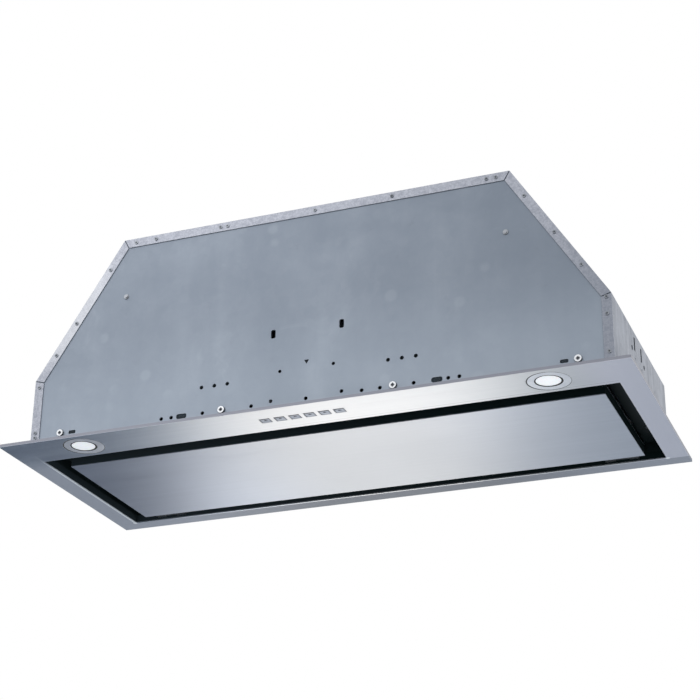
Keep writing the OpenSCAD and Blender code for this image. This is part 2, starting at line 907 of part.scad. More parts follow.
// Pins of the panel's hinges and of the damper
module pivot_pins() {
    color("#8d9299")
    union() {
        both_sides() rod_x(hinge_y, hinge_z, hinge_pin_r, hinge_x - hinge_w / 2, hinge_x + hinge_w / 2);
        rod_x(duct_y, damper_z + flap_t / 2, damper_pin_r, -damper_pin_end, damper_pin_end);
    }
}

module moving_hinge_leaves() {
    color("#aab4c0")
    both_sides() difference() {
        union() {
            slab(hinge_x - hinge_w / 2, hinge_x + hinge_w / 2, panel_rear, panel_rear + leaf_t,
                moving_leaf_low, hinge_z + hinge_r);
            slab(hinge_x - hinge_knuckle_w / 2, hinge_x + hinge_knuckle_w / 2, panel_rear, hinge_y,
                hinge_z + hinge_r - leaf_t, hinge_z + hinge_r);
            rod_x(hinge_y, hinge_z, hinge_r, hinge_x - hinge_knuckle_w / 2, hinge_x + hinge_knuckle_w / 2);
        }
        rod_x(hinge_y, hinge_z, hinge_pin_r + run_gap, hinge_x - hinge_w, hinge_x + hinge_w);
    }
}

// Magnet blocks that hold the front of the panel up
module magnet_catches() {
    color("#23262a")
    both_sides() difference() {
        union() {
            slab(catch_x - catch_w / 2, catch_x + catch_w / 2, open_front, open_front + catch_reach,
                catch_z, catch_z + catch_h);
            slab(catch_x - catch_w / 2 - catch_ear_w, catch_x + catch_w / 2 + catch_ear_w,
                open_front, open_front + catch_ear_t, catch_z, catch_z + catch_h);
        }
        for (e = [-1, 1]) {
            rod_y(catch_x + e * (catch_w + catch_ear_w) / 2, catch_z + catch_h / 2, leaf_screw_r,
                open_front - over, open_front + catch_ear_t + over);
        }
        slab(catch_x - catch_w / 4, catch_x + catch_w / 4, open_front + catch_ear_t,
            open_front + catch_reach / 2, catch_z + catch_h / 2, catch_z + catch_h + over);
    }
}

module strike_plates() {
    color("#c4c7cb")
    both_sides() slab(catch_x - strike_w / 2, catch_x + strike_w / 2, panel_front + steel_t,
        panel_front + steel_t + strike_l, panel_top, panel_top + strike_t);
}

// Stainless tray that faces the hob
module panel_skin() {
    color("#aeb3ba")
    difference() {
        slab(-panel_x, panel_x, panel_front, panel_rear, panel_step, panel_step + panel_h);
        slab(-panel_x + steel_t, panel_x - steel_t, panel_front + steel_t, panel_rear - steel_t,
            panel_step + steel_t, panel_step + panel_h + over);
    }
}

// Lid of the tray, with edges turned down inside its walls
module panel_backer() {
    turn_x = panel_x - steel_t;
    color("#9aa3ab")
    difference() {
        union() {
            slab(-panel_x, panel_x, panel_front, panel_rear, panel_step + panel_h, panel_top);
            slab(-turn_x, turn_x, panel_front + steel_t, panel_rear - steel_t,
                panel_step + panel_h - backer_turn, panel_step + panel_h + over);
        }
        slab(-turn_x + steel_t, turn_x - steel_t, panel_front + 2 * steel_t, panel_rear - 2 * steel_t,
            panel_step + panel_h - backer_turn - over, panel_step + panel_h);
    }
}

// Bezels that sit flush in the flange
module lamp_rings() {
    color("#c2c4c9")
    both_sides() difference() {
        rod_z(lamp_x, control_y, lamp_ring_r, ring_step, steel_t);
        rod_z(lamp_x, control_y, lamp_lens_r + lens_gap, ring_step - over, steel_t + over);
    }
}

module lamp_lenses() {
    color("#fbfbff")
    both_sides() rod_z(lamp_x, control_y, lamp_lens_r, lens_step, lens_step + lens_t);
}

// Shallow lamp cans on top of the flange, with a plug at the rear
module lamp_bodies() {
    color("#2a2d31")
    both_sides() difference() {
        union() {
            rod_z(lamp_x, control_y, lamp_rim_r, steel_t, steel_t + lamp_rim_t);
            rod_z(lamp_x, control_y, lamp_body_r, steel_t, steel_t + lamp_body_h);
            slab(lamp_x - lamp_plug_w / 2, lamp_x + lamp_plug_w / 2, control_y,
                control_y + lamp_body_r + lamp_plug_l / 2, steel_t, steel_t + lamp_body_h);
        }
        rod_z(lamp_x, control_y, lamp_lens_r, 0, lens_step + lens_t);
        rod_z(lamp_x, control_y, lamp_lens_r - lamp_wall, 0, steel_t + lamp_body_h - lamp_wall);
    }
}

// Guide block behind the button windows
module button_holder() {
    pocket_w = button_w + 2 * cap_skirt + 2 * soft_gap;
    pocket_d = button_d + 2 * cap_skirt + 2 * soft_gap;
    color("#1d1f22")
    difference() {
        slab(button_shift - holder_w / 2, button_shift + holder_w / 2,
            control_y - holder_d / 2, control_y + holder_d / 2, steel_t, holder_top);
        for (i = [1:button_count]) {
            slab(button_x(i) - pocket_w / 2, button_x(i) + pocket_w / 2,
                control_y - pocket_d / 2, control_y + pocket_d / 2, 0, holder_top + over);
        }
    }
}

// Circuit board on the holder, one switch over each button
module button_board() {
    color("#2f5d3c")
    union() {
        slab(button_shift - holder_w / 2, button_shift + holder_w / 2,
            control_y - holder_d / 2, control_y + holder_d / 2, holder_top, holder_top + board_t);
        for (i = [1:button_count]) {
            slab(button_x(i) - switch_w / 2, button_x(i) + switch_w / 2,
                control_y - switch_w / 2, control_y + switch_w / 2, holder_top - switch_h, holder_top);
        }
    }
}

// Hollow cap with a skirt that stops on the flange and a stem that meets the switch
module push_button(i) {
    x = button_x(i);
    hw = button_w / 2;
    hd = button_d / 2;
    skirt_z = steel_t + cap_step;
    color("#9da1a8")
    difference() {
        union() {
            slab(x - hw, x + hw, control_y - hd, control_y + hd, cap_step, cap_top_z);
            slab(x - hw - cap_skirt, x + hw + cap_skirt, control_y - hd - cap_skirt, control_y + hd + cap_skirt,
                skirt_z, skirt_z + cap_skirt_t);
            slab(x - cap_stem_w / 2, x + cap_stem_w / 2, control_y - cap_stem_w / 2, control_y + cap_stem_w / 2,
                cap_step, cap_stem_top_z);
        }
        difference() {
            slab(x - hw + cap_wall, x + hw - cap_wall, control_y - hd + cap_wall, control_y + hd - cap_wall,
                cap_step + cap_wall, cap_top_z + over);
            slab(x - cap_stem_w / 2, x + cap_stem_w / 2, control_y - cap_stem_w / 2, control_y + cap_stem_w / 2,
                0, cap_stem_top_z);
        }
        slab(x - mark_w / 2, x + mark_w / 2, control_y - mark_d / 2, control_y + mark_d / 2,
            0, cap_step + mark_depth);
    }
}

module button_1() { push_button(1); }
module button_2() { push_button(2); }
module button_3() { push_button(3); }
module button_4() { push_button(4); }
module button_5() { push_button(5); }
module button_6() { push_button(6); }

// Open steel box on the front plate, with posts for the board and an ear for its screw
module control_box() {
    y1 = inner_front + box_depth;
    color("#b5b9bf")
    difference() {
        union() {
            difference() {
                slab(box_x0, box_x1, inner_front, y1, box_z0, box_z1);
                slab(box_x0 + sheet_t, box_x1 - sheet_t, inner_front + sheet_t, y1 + over,
                    box_z0 + sheet_t, box_z1 - sheet_t);
            }
            slab(-dome_screw_x - box_ear_w / 2, -dome_screw_x + box_ear_w / 2, inner_front, inner_front + sheet_t,
                box_z1 - over, box_z1 + box_ear_h);
            for (x = [box_x0 + standoff_inset, box_x1 - standoff_inset]) {
                for (z = [box_z0 + 2 * standoff_inset, box_z1 - standoff_inset]) {
                    rod_y(x, z, standoff_r, inner_front + sheet_t, inner_front + sheet_t + standoff_l);
                }
            }
        }
        rod_y(-dome_screw_x, dome_screw_z, pan_shank_r, inner_front - over, inner_front + sheet_t + over);
        slab(lead_end_x - lead_w, lead_end_x + lead_w, inner_front + lead_back, inner_front + lead_back + lead_w,
            box_z0 - over, box_z0 + sheet_t + over);
    }
}

module control_box_lid() {
    y1 = inner_front + box_depth;
    color("#b5b9bf")
    difference() {
        slab(box_x0 - sheet_t, box_x1 + sheet_t, y1 - lid_turn, y1 + sheet_t, box_z0 - sheet_t, box_z1 + sheet_t);
        slab(box_x0, box_x1, y1 - lid_turn - over, y1, box_z0, box_z1);
    }
}

// Board with a transformer, relays and a plug
module control_board() {
    y0 = inner_front + sheet_t + standoff_l;
    y1 = y0 + board_t;
    z0 = box_z0 + 2 * standoff_inset - standoff_r;
    color("#2f5d3c")
    union() {
        slab(box_x0 + standoff_inset - standoff_r, box_x1 - standoff_inset + standoff_r, y0, y1,
            z0, box_z1 - standoff_inset + standoff_r);
        slab(box_x0 + 2 * standoff_inset, box_x0 + 2 * standoff_inset + part_l, y1, y1 + part_h,
            z0 + standoff_inset, z0 + standoff_inset + part_w);
        for (k = [0:2]) {
            relay_x = box_x1 - 2 * standoff_inset - (k + 1) * (relay_w + standoff_r);
            slab(relay_x, relay_x + relay_w, y1, y1 + part_h / 2, z0 + part_w + standoff_inset,
                z0 + 2 * part_w + standoff_inset);
        }
        slab(lead_end_x - lead_w, lead_end_x + lead_w, y1, y1 + lead_w, z0, z0 + lead_w);
    }
}

module terminal_block() {
    x0 = box_x0 + standoff_inset;
    y1 = inner_front + box_depth - standoff_r;
    way = terminal_l / terminal_ways;
    color("#d8d4c4")
    difference() {
        slab(x0, x0 + terminal_l, y1 - terminal_d, y1, box_z0 + sheet_t, box_z0 + sheet_t + terminal_h);
        for (k = [0:terminal_ways - 1]) {
            rod_z(x0 + (k + 1 / 2) * way, y1 - terminal_d / 2, way / 4, box_z0 + sheet_t + terminal_h / 2,
                box_z0 + sheet_t + terminal_h + over);
        }
    }
}

// Power supply of the lamps, on the front plate
module lamp_driver() {
    color("#e3e5e8")
    difference() {
        union() {
            slab(driver_x0, driver_x0 + driver_l, inner_front, inner_front + driver_depth,
                driver_z0, driver_z0 + driver_h);
            slab(dome_screw_x - box_ear_w / 2, dome_screw_x + box_ear_w / 2, inner_front, inner_front + 2 * sheet_t,
                driver_z0 + driver_h - over, dome_screw_z + box_ear_w / 2);
        }
        rod_y(dome_screw_x, dome_screw_z, pan_shank_r, inner_front - over, inner_front + 2 * sheet_t + over);
    }
}

module capacitor() {
    color("#c7cacf")
    union() {
        rod_x(can_y, can_z, can_r, can_x0, can_x0 + can_l);
        rod_x(can_y, can_z, can_r / 2, can_x0 + can_l, can_x0 + can_l + can_r / 2);
    }
}

// Band round the capacitor, with a foot on the front plate
module capacitor_clamp() {
    x0 = can_x0 + can_l / 2 - clamp_w / 2;
    color("#9ea3aa")
    difference() {
        union() {
            rod_x(can_y, can_z, can_r + clamp_t, x0, x0 + clamp_w);
            slab(x0, x0 + clamp_w, inner_front, can_y, can_z - clamp_t, can_z + clamp_t);
            slab(x0, x0 + clamp_w, inner_front, inner_front + clamp_t, can_z - clamp_foot, can_z + clamp_foot);
        }
        rod_x(can_y, can_z, can_r, x0 - over, x0 + clamp_w + over);
    }
}

// Strain relief where the supply cable enters the top
module cable_gland() {
    color("#24272b")
    difference() {
        union() {
            rod_z(gland_x, gland_y, gland_r, body_h - sheet_t - gland_nut_h, body_h + gland_body_h);
            translate([gland_x, gland_y, body_h]) cylinder(r = gland_nut_r, h = gland_nut_h, $fn = 6);
            translate([gland_x, gland_y, body_h - sheet_t - gland_nut_h])
                cylinder(r = gland_nut_r, h = gland_nut_h, $fn = 6);
            translate([gland_x, gland_y, body_h + gland_nut_h]) cylinder(r1 = gland_nut_r * gland_cap_share,
                r2 = gland_r, h = gland_body_h - gland_nut_h, $fn = 48);
        }
        rod_z(gland_x, gland_y, gland_bore_r, body_h - sheet_t - gland_nut_h - over, body_h + gland_body_h + over);
    }
}

// Radius of the scroll at an angle counted from the tongue
function scroll_r(a) = scroll_r0 + (scroll_r1 - scroll_r0) * (a - tongue_a) / (full_turn - tongue_a);
scroll_angles = [for (a = [tongue_a:scroll_step:full_turn]) a];
function scroll_point(a, extra) = [shaft_y + (scroll_r(a) + extra) * cos(a), shaft_z + (scroll_r(a) + extra) * sin(a)];
scroll_top = body_h - sheet_t - outlet_flange_t;
tongue_y = scroll_point(tongue_a, 0)[0];
outlet_y = shaft_y + scroll_r1;
tongue_back_y = tongue_y - sheet_t;
tongue_back_z = shaft_z + sqrt(pow(scroll_r0 + sheet_t, 2) - pow(tongue_back_y - shaft_y, 2));
function reverse(v) = [for (i = [len(v) - 1:-1:0]) v[i]];
function scroll_outside(top) = concat(
    [[tongue_back_y, top], [tongue_back_y, tongue_back_z]],
    [for (i = [1:len(scroll_angles) - 1]) scroll_point(scroll_angles[i], sheet_t)],
    [[outlet_y + sheet_t, top]]);

// Spiral of sheet with the outlet's two straight walls and its flange
module scroll_wrap() {
    color("#a3adb6")
    difference() {
        union() {
            yz_prism(-scroll_half_w, scroll_half_w) polygon(concat(
                [[tongue_y, scroll_top + outlet_flange_t / 2]],
                [for (a = scroll_angles) scroll_point(a, 0)],
                [[outlet_y, scroll_top + outlet_flange_t / 2]],
                reverse(scroll_outside(scroll_top + outlet_flange_t / 2))));
            slab(-outlet_flange, outlet_flange, duct_y - outlet_flange, duct_y + outlet_flange,
                scroll_top, scroll_top + outlet_flange_t);
        }
        slab(-scroll_half_w, scroll_half_w, tongue_y, outlet_y, scroll_top - over, scroll_top + outlet_flange_t + over);
        base_screws_at() rod_z(0, 0, base_screw_r, scroll_top - over, scroll_top + outlet_flange_t + over);
    }
}

// Side of the scroll with a rounded inlet
module scroll_cheek() {
    difference() {
        union() {
            yz_prism(scroll_half_w, scroll_half_w + sheet_t) polygon(scroll_outside(scroll_top));
            translate([scroll_half_w + sheet_t, shaft_y, shaft_z]) rotate([0, -90, 0])
                rotate_extrude() difference() {
                    translate([inlet_r, 0]) square([bell_r + sheet_t, bell_r + sheet_t]);
                    translate([inlet_r + bell_r + sheet_t, bell_r + sheet_t]) circle(r = bell_r);
                }
        }
        rod_x(shaft_y, shaft_z, inlet_r, scroll_half_w - 2 * bell_r, scroll_half_w + sheet_t + over);
        grommets_at() rod_x(0, 0, grommet_hole_r, scroll_half_w - over, scroll_half_w + sheet_t + over);
    }
}

// Three places round the shaft
module grommets_at() {
    for (a = [90:120:330]) {
        translate([0, shaft_y + grommet_circle_r * cos(a), shaft_z + grommet_circle_r * sin(a)]) children();
    }
}

module scroll_cheek_right() {
    color("#a3adb6") scroll_cheek();
}

module scroll_cheek_left() {
    color("#a3adb6") mirror([1, 0, 0]) scroll_cheek();
}

// Forward-curved blade, drawn in Y and Z with the shaft at the origin
function blade_side(offset_a) = [for (k = [0:4])
    let (share = k / 4, r = blade_in_r + (wheel_r - blade_t / 2 - blade_in_r) * share, a = blade_sweep * share * share / 2 + offset_a)
    [r * cos(a), r * sin(a)]];
blade_thick_a = 360 * blade_t / (2 * PI * wheel_r);

// Disc with its hub, and the two end rings that the blades join to it
module impeller_wheel() {
    color("#6f757c")
    translate([0, shaft_y, shaft_z]) {
        difference() {
            union() {
                rod_x(0, 0, wheel_r, -disc_t / 2, disc_t / 2);
                rod_x(0, 0, hub_r, -hub_half_l, hub_half_l);
            }
            rod_x(0, 0, shaft_r, -hub_half_l - over, hub_half_l + over);
        }
        for (s = [-1, 1]) {
            difference() {
                rod_x(0, 0, wheel_r, s * wheel_half_w - ring_t / 2, s * wheel_half_w + ring_t / 2);
                rod_x(0, 0, wheel_r - ring_w, s * wheel_half_w - ring_t, s * wheel_half_w + ring_t);
            }
        }
    }
}

module impeller_blades() {
    color("#7b8188")
    translate([0, shaft_y, shaft_z]) both_sides() for (i = [0:blade_count - 1]) {
        yz_prism(disc_t / 2, wheel_half_w - ring_t / 2) rotate(i * 360 / blade_count)
            polygon(concat(blade_side(0), reverse(blade_side(blade_thick_a))));
    }
}

module motor_shaft() {
    color("#d0d3d6")
    rod_x(shaft_y, shaft_z, shaft_r, -shaft_tail, motor_x0 + shaft_in_motor);
}

// Motor inside the right half of the impeller
module motor_body() {
    color("#4b5057")
    difference() {
        union() {
            rod_x(shaft_y, shaft_z, motor_r - motor_band_step, motor_x0, motor_rear);
            rod_x(shaft_y, shaft_z, motor_r, motor_x0 + motor_band_w, motor_rear - motor_band_w);
            rod_x(shaft_y, shaft_z, motor_bell_r, motor_rear - over, motor_rear + motor_bell_l);
        }
        rod_x(shaft_y, shaft_z, shaft_r + run_gap, motor_x0 - over, motor_x0 + shaft_in_motor + over);
    }
}

// Three-armed plate that carries the motor
module motor_bracket() {
    color("#8f959c")
    difference() {
        union() {
            rod_x(shaft_y, shaft_z, bracket_ring_r, motor_rear, motor_rear + bracket_t);
            for (a = [90:120:330]) {
                translate([motor_rear, shaft_y, shaft_z]) rotate([a, 0, 0])
                    slab(0, bracket_t, 0, grommet_circle_r + grommet_r, -bracket_arm_w / 2, bracket_arm_w / 2);
            }
        }
        rod_x(shaft_y, shaft_z, motor_bell_r, motor_rear - over, motor_rear + bracket_t + over);
        grommets_at() rod_x(0, 0, grommet_hole_r, motor_rear - over, motor_rear + bracket_t + over);
    }
}

module motor_grommets() {
    color("#17181a")
    grommets_at() difference() {
        rod_x(0, 0, grommet_r, scroll_half_w + sheet_t, motor_rear);
        rod_x(0, 0, grommet_hole_r, scroll_half_w, motor_rear + over);
    }
}

// Round outlet with a seat for the damper and two bosses for its pin
module duct_collar() {
    color("#3b3f44")
    difference() {
        union() {
            difference() {
                union() {
                    rod_z(0, duct_y, collar_r, body_h, collar_top);
                    rod_z(0, duct_y, collar_base_r, body_h, body_h + collar_base_t);
                }
                difference() {
                    rod_z(0, duct_y, collar_r - collar_wall, body_h - over, collar_top + over);
                    rod_z(0, duct_y, collar_r, damper_z - soft_gap - seat_t, damper_z - soft_gap);
                }
                rod_z(0, duct_y, collar_r - collar_wall - seat_w, body_h, collar_top);
            }
            both_sides() rod_x(duct_y, damper_z + flap_t / 2, knuckle_r,
                collar_r - collar_wall - seat_w, collar_r - collar_wall / 2);
        }
        rod_x(duct_y, damper_z + flap_t / 2, damper_pin_r, -damper_pin_end, damper_pin_end);
        base_screws_at() rod_z(0, 0, base_screw_r, body_h - over, body_h + collar_base_t + over);
    }
}

flap_r = collar_r - collar_wall - flap_gap;

// Half disc on its share of the knuckles; s is -1 in front and 1 behind
module damper_flap(s) {
    first = s < 0 ? 0 : 1;
    pin_z = damper_z + flap_t / 2;
    difference() {
        union() {
            difference() {
                rod_z(0, duct_y, flap_r, damper_z, damper_z + flap_t);
                slab(-collar_r, collar_r, s < 0 ? duct_y - knuckle_r - soft_gap : duct_y - collar_r,
                    s < 0 ? duct_y + collar_r : duct_y + knuckle_r + soft_gap,
                    damper_z - over, damper_z + flap_t + over);
            }
            for (k = [first, first + 2]) {
                x0 = knuckle_shares[k] * (flap_r - 2 * knuckle_r) + soft_gap / 2;
                x1 = knuckle_shares[k + 1] * (flap_r - 2 * knuckle_r) - soft_gap / 2;
                rod_x(duct_y, pin_z, knuckle_r, x0, x1);
                slab(x0, x1, s < 0 ? duct_y - 2 * knuckle_r : duct_y, s < 0 ? duct_y : duct_y + 2 * knuckle_r,
                    damper_z, damper_z + flap_t);
            }
        }
        rod_x(duct_y, pin_z, damper_pin_r + run_gap, -collar_r, collar_r);
    }
}

module damper_flap_front() {
    color("#2c2f33") damper_flap(-1);
}

module damper_flap_rear() {
    color("#2c2f33") damper_flap(1);
}

// Cross-head screws low on the front plate and two dome screws above
module plate_screws() {
    color("#d9dce0")
    union() {
        for (x = plate_screw_xs) {
            difference() {
                union() {
                    rod_y(x, plate_screw_z, pan_head_r, plate_front - pan_head_h, plate_front);
                    rod_y(x, plate_screw_z, pan_shank_r, plate_front - over, plate_front + pan_shank_l);
                }
                for (a = [0, 90]) {
                    translate([x, plate_front - pan_head_h, plate_screw_z]) rotate([0, a, 0])
                        slab(-pan_head_r * cross_share, pan_head_r * cross_share, -over, cross_w,
                            -cross_w / 2, cross_w / 2);
                }
            }
        }
        for (s = [-1, 1]) {
            rod_y(s * dome_screw_x, dome_screw_z, dome_head_r, plate_front - dome_head_h / 2, plate_front);
            rod_y(s * dome_screw_x, dome_screw_z, dome_head_r * cross_share, plate_front - dome_head_h, plate_front);
            rod_y(s * dome_screw_x, dome_screw_z, pan_shank_r, plate_front - over, plate_front + pan_shank_l);
        }
    }
}

// Hollow rivets through the folded edges and the end plates, flush inside at the rear
module edge_rivet(outside, inside, tail_l) {
    way = sign(inside - outside);
    head = outside - way * rivet_head_h;
    tail = inside + way * tail_l;
    difference() {
        union() {
            rod_y(0, 0, rivet_head_r, min(head, outside), max(head, outside));
            rod_y(0, 0, rivet_r, min(outside, tail), max(outside, tail));
        }
        rod_y(0, 0, rivet_dimple_r, min(head - way * over, outside), max(head - way * over, outside));
    }
}

module edge_rivets() {
    color("#c3c6cc")
    for (p = all_rivets) {
        translate([p[0], 0, p[1]]) edge_rivet(body_front, inner_front, rivet_tail);
        translate([p[0], 0, p[1]]) edge_rivet(body_rear, inner_rear, 0);
    }
}

// Screws of the duct collar and of the motor bracket
module assembly_screws() {
    top = body_h + collar_base_t;
    color("#d9dce0")
    union() {
        base_screws_at() {
            rod_z(0, 0, base_head_r, top, top + base_head_h);
            rod_z(0, 0, base_screw_r, scroll_top, top + base_head_h / 2);
        }
        grommets_at() {
            rod_x(0, 0, 2 * grommet_hole_r, motor_rear + bracket_t, motor_rear + bracket_t + base_head_h);
            rod_x(0, 0, grommet_hole_r, scroll_half_w, motor_rear + bracket_t + base_head_h / 2);
        }
    }
}

// Quarter bend of the ribbon lead in X and Z
module lead_corner(x, z, start_a) {
    translate([x, inner_front + lead_back + lead_w, z]) rotate([90, 0, 0]) rotate([0, 0, start_a])
        rotate_extrude(angle = 90) translate([lead_bend, 0]) square([lead_t, lead_w]);
}

// Flat lead from the button board up to the control box
module ribbon_lead() {
    y0 = inner_front + lead_back;
    y1 = y0 + lead_w;
    outer = lead_bend + lead_t;
    color("#50565d")
    union() {
        slab(lead_x - lead_t / 2, lead_x + lead_t / 2, y0, y1, holder_top + board_t, lead_z - outer);
        lead_corner(lead_x + lead_t / 2 - outer, lead_z - outer, 0);
        slab(lead_end_x + outer - lead_t / 2, lead_x + lead_t / 2 - outer, y0, y1, lead_z - lead_t, lead_z);
        lead_corner(lead_end_x - lead_t / 2 + outer, lead_z - lead_t + outer, 180);
        slab(lead_end_x - lead_t / 2, lead_end_x + lead_t / 2, y0, y1, lead_z - lead_t + outer,
            box_z0 + 2 * standoff_inset - standoff_r);
    }
}

flange_frame();
front_plate();
rear_plate();
side_panel_left();
side_panel_right();
top_panel();
inner_liner();
side_fillers();
filter_rail_front();
filter_rail_rear();
centre_rail();
filter_springs();
fixed_hinge_leaves();
pivot_pins();
magnet_catches();
lamp_rings();
lamp_lenses();
lamp_bodies();
button_holder();
button_board();
control_box();
control_box_lid();
control_board();
terminal_block();
lamp_driver();
capacitor();
capacitor_clamp();
cable_gland();
scroll_wrap();
scroll_cheek_left();
scroll_cheek_right();
motor_body();
motor_bracket();
motor_grommets();
duct_collar();
plate_screws();
edge_rivets();
assembly_screws();
ribbon_lead();
impeller_wheel();
impeller_blades();
motor_shaft();
panel_skin();
panel_backer();
moving_hinge_leaves();
strike_plates();
filter_frame_left();
filter_mesh_left();
filter_bail_left();
filter_frame_right();
filter_mesh_right();
filter_bail_right();
damper_flap_front();
damper_flap_rear();
button_1();
button_2();
button_3();
button_4();
button_5();
button_6();
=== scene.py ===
"""Looks of the range hood insert: camera, studio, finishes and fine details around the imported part."""

import json
import math

import bmesh
import bpy
from mathutils import Matrix, Vector


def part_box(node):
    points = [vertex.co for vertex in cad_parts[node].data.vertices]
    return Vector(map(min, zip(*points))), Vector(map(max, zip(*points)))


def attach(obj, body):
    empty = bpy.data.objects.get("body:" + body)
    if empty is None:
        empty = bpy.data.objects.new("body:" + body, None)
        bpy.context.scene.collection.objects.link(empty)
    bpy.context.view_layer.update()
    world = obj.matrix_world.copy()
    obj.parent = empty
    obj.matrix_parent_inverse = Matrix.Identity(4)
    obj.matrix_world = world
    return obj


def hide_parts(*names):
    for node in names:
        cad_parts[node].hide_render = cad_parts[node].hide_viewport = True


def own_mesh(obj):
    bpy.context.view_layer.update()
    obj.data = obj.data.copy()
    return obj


MM = 0.001

# Places on the part
PLATE_FACE = -150 * MM  # outer face of the front plate
HIGH_HEADS = 150 * MM  # the front plate's screws above this height are domed
TALL_SLOT = (49 * MM, 124 * MM)  # the front plate's two tall slots: from the middle, up
CLIP_SLOTS = ((346, 24, 11, 5), (180, 24, 15, 7))  # its clip slots, mm: from the middle, up, width, height
SIDE_SLOTS = ((-27.5, 11.5), 90)  # the side walls' slots, mm: places along Y, height
SIDE_HOLES = ((-43, 27), 79)  # the side walls' fixing holes, mm: places along Y, height
FILLER_SCREWS = (394, (-72, 104))  # the side channels' screws, mm: from the middle, places along Y
CREASE = -122.5 * MM  # where the flange's front bar turns up into the opening
RETURNS = (408.5 * MM, -117.5 * MM, 161 * MM)  # the opening inside its walls: half width, front, rear
RIM = (407 * MM, -150 * MM, 161 * MM)  # dull bars: the left one's inner edge and front end, the rear's edge
HEM = (436.9 * MM, 184.9 * MM)  # where the flange's folded edge starts: half width, half depth
BUTTON_Y = -150.6 * MM  # middle of the buttons' marks
BUTTON_PITCH = 20.8 * MM
BUTTON_SHIFT = 4 * MM  # the row of buttons sits this far left of the middle

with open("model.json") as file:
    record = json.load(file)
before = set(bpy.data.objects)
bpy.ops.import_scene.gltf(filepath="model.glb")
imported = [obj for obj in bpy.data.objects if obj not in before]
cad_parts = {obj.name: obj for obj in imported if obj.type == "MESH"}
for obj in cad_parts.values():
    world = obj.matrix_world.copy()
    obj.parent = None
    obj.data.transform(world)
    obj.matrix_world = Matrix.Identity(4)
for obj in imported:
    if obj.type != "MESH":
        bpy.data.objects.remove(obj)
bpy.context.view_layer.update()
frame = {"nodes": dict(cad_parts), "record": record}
nodes = frame["nodes"]
scene = bpy.context.scene
scene.view_settings.view_transform = "Standard"


# Camera

YAW = 0.3746341728985312
PITCH = 0.42884008683458413
ROLL = 0.01100920907959917
LENS = 90.585
ORIGIN_SEEN = (-0.0036773370, -0.1433392104, 2.4106603989)  # the origin from the camera: right, up, ahead


def photo_camera():
    """Camera fitted to the photo's straight edges."""
    forward = Vector((-math.sin(YAW), math.cos(YAW), 0))
    right = Vector((math.cos(YAW), math.sin(YAW), 0))
    up = Vector((0, 0, 1))
    ahead = math.cos(PITCH) * forward + math.sin(PITCH) * up
    over = math.cos(PITCH) * up - math.sin(PITCH) * forward
    side = math.cos(ROLL) * right + math.sin(ROLL) * over
    top = math.cos(ROLL) * over - math.sin(ROLL) * right
    place = -(ORIGIN_SEEN[0] * side + ORIGIN_SEEN[1] * top + ORIGIN_SEEN[2] * ahead)
    data = bpy.data.cameras.new("photo_camera")
    data.lens = LENS
    data.sensor_width = 36
    data.clip_end = 60
    camera = bpy.data.objects.new("photo_camera", data)
    scene.collection.objects.link(camera)
    camera.matrix_world = Matrix((
        (side.x, top.x, -ahead.x, place.x),
        (side.y, top.y, -ahead.y, place.y),
        (side.z, top.z, -ahead.z, place.z),
        (0, 0, 0, 1),
    ))
    scene.camera = camera


photo_camera()


# Material tools

def tone(r, g, b):
    """Colour as seen on the screen, 0 to 255, to the renderer's linear values."""
    def linear(v):
        v = v / 255
        return v / 12.92 if v <= 0.04045 else ((v + 0.055) / 1.055) ** 2.4
    return (linear(r), linear(g), linear(b), 1)


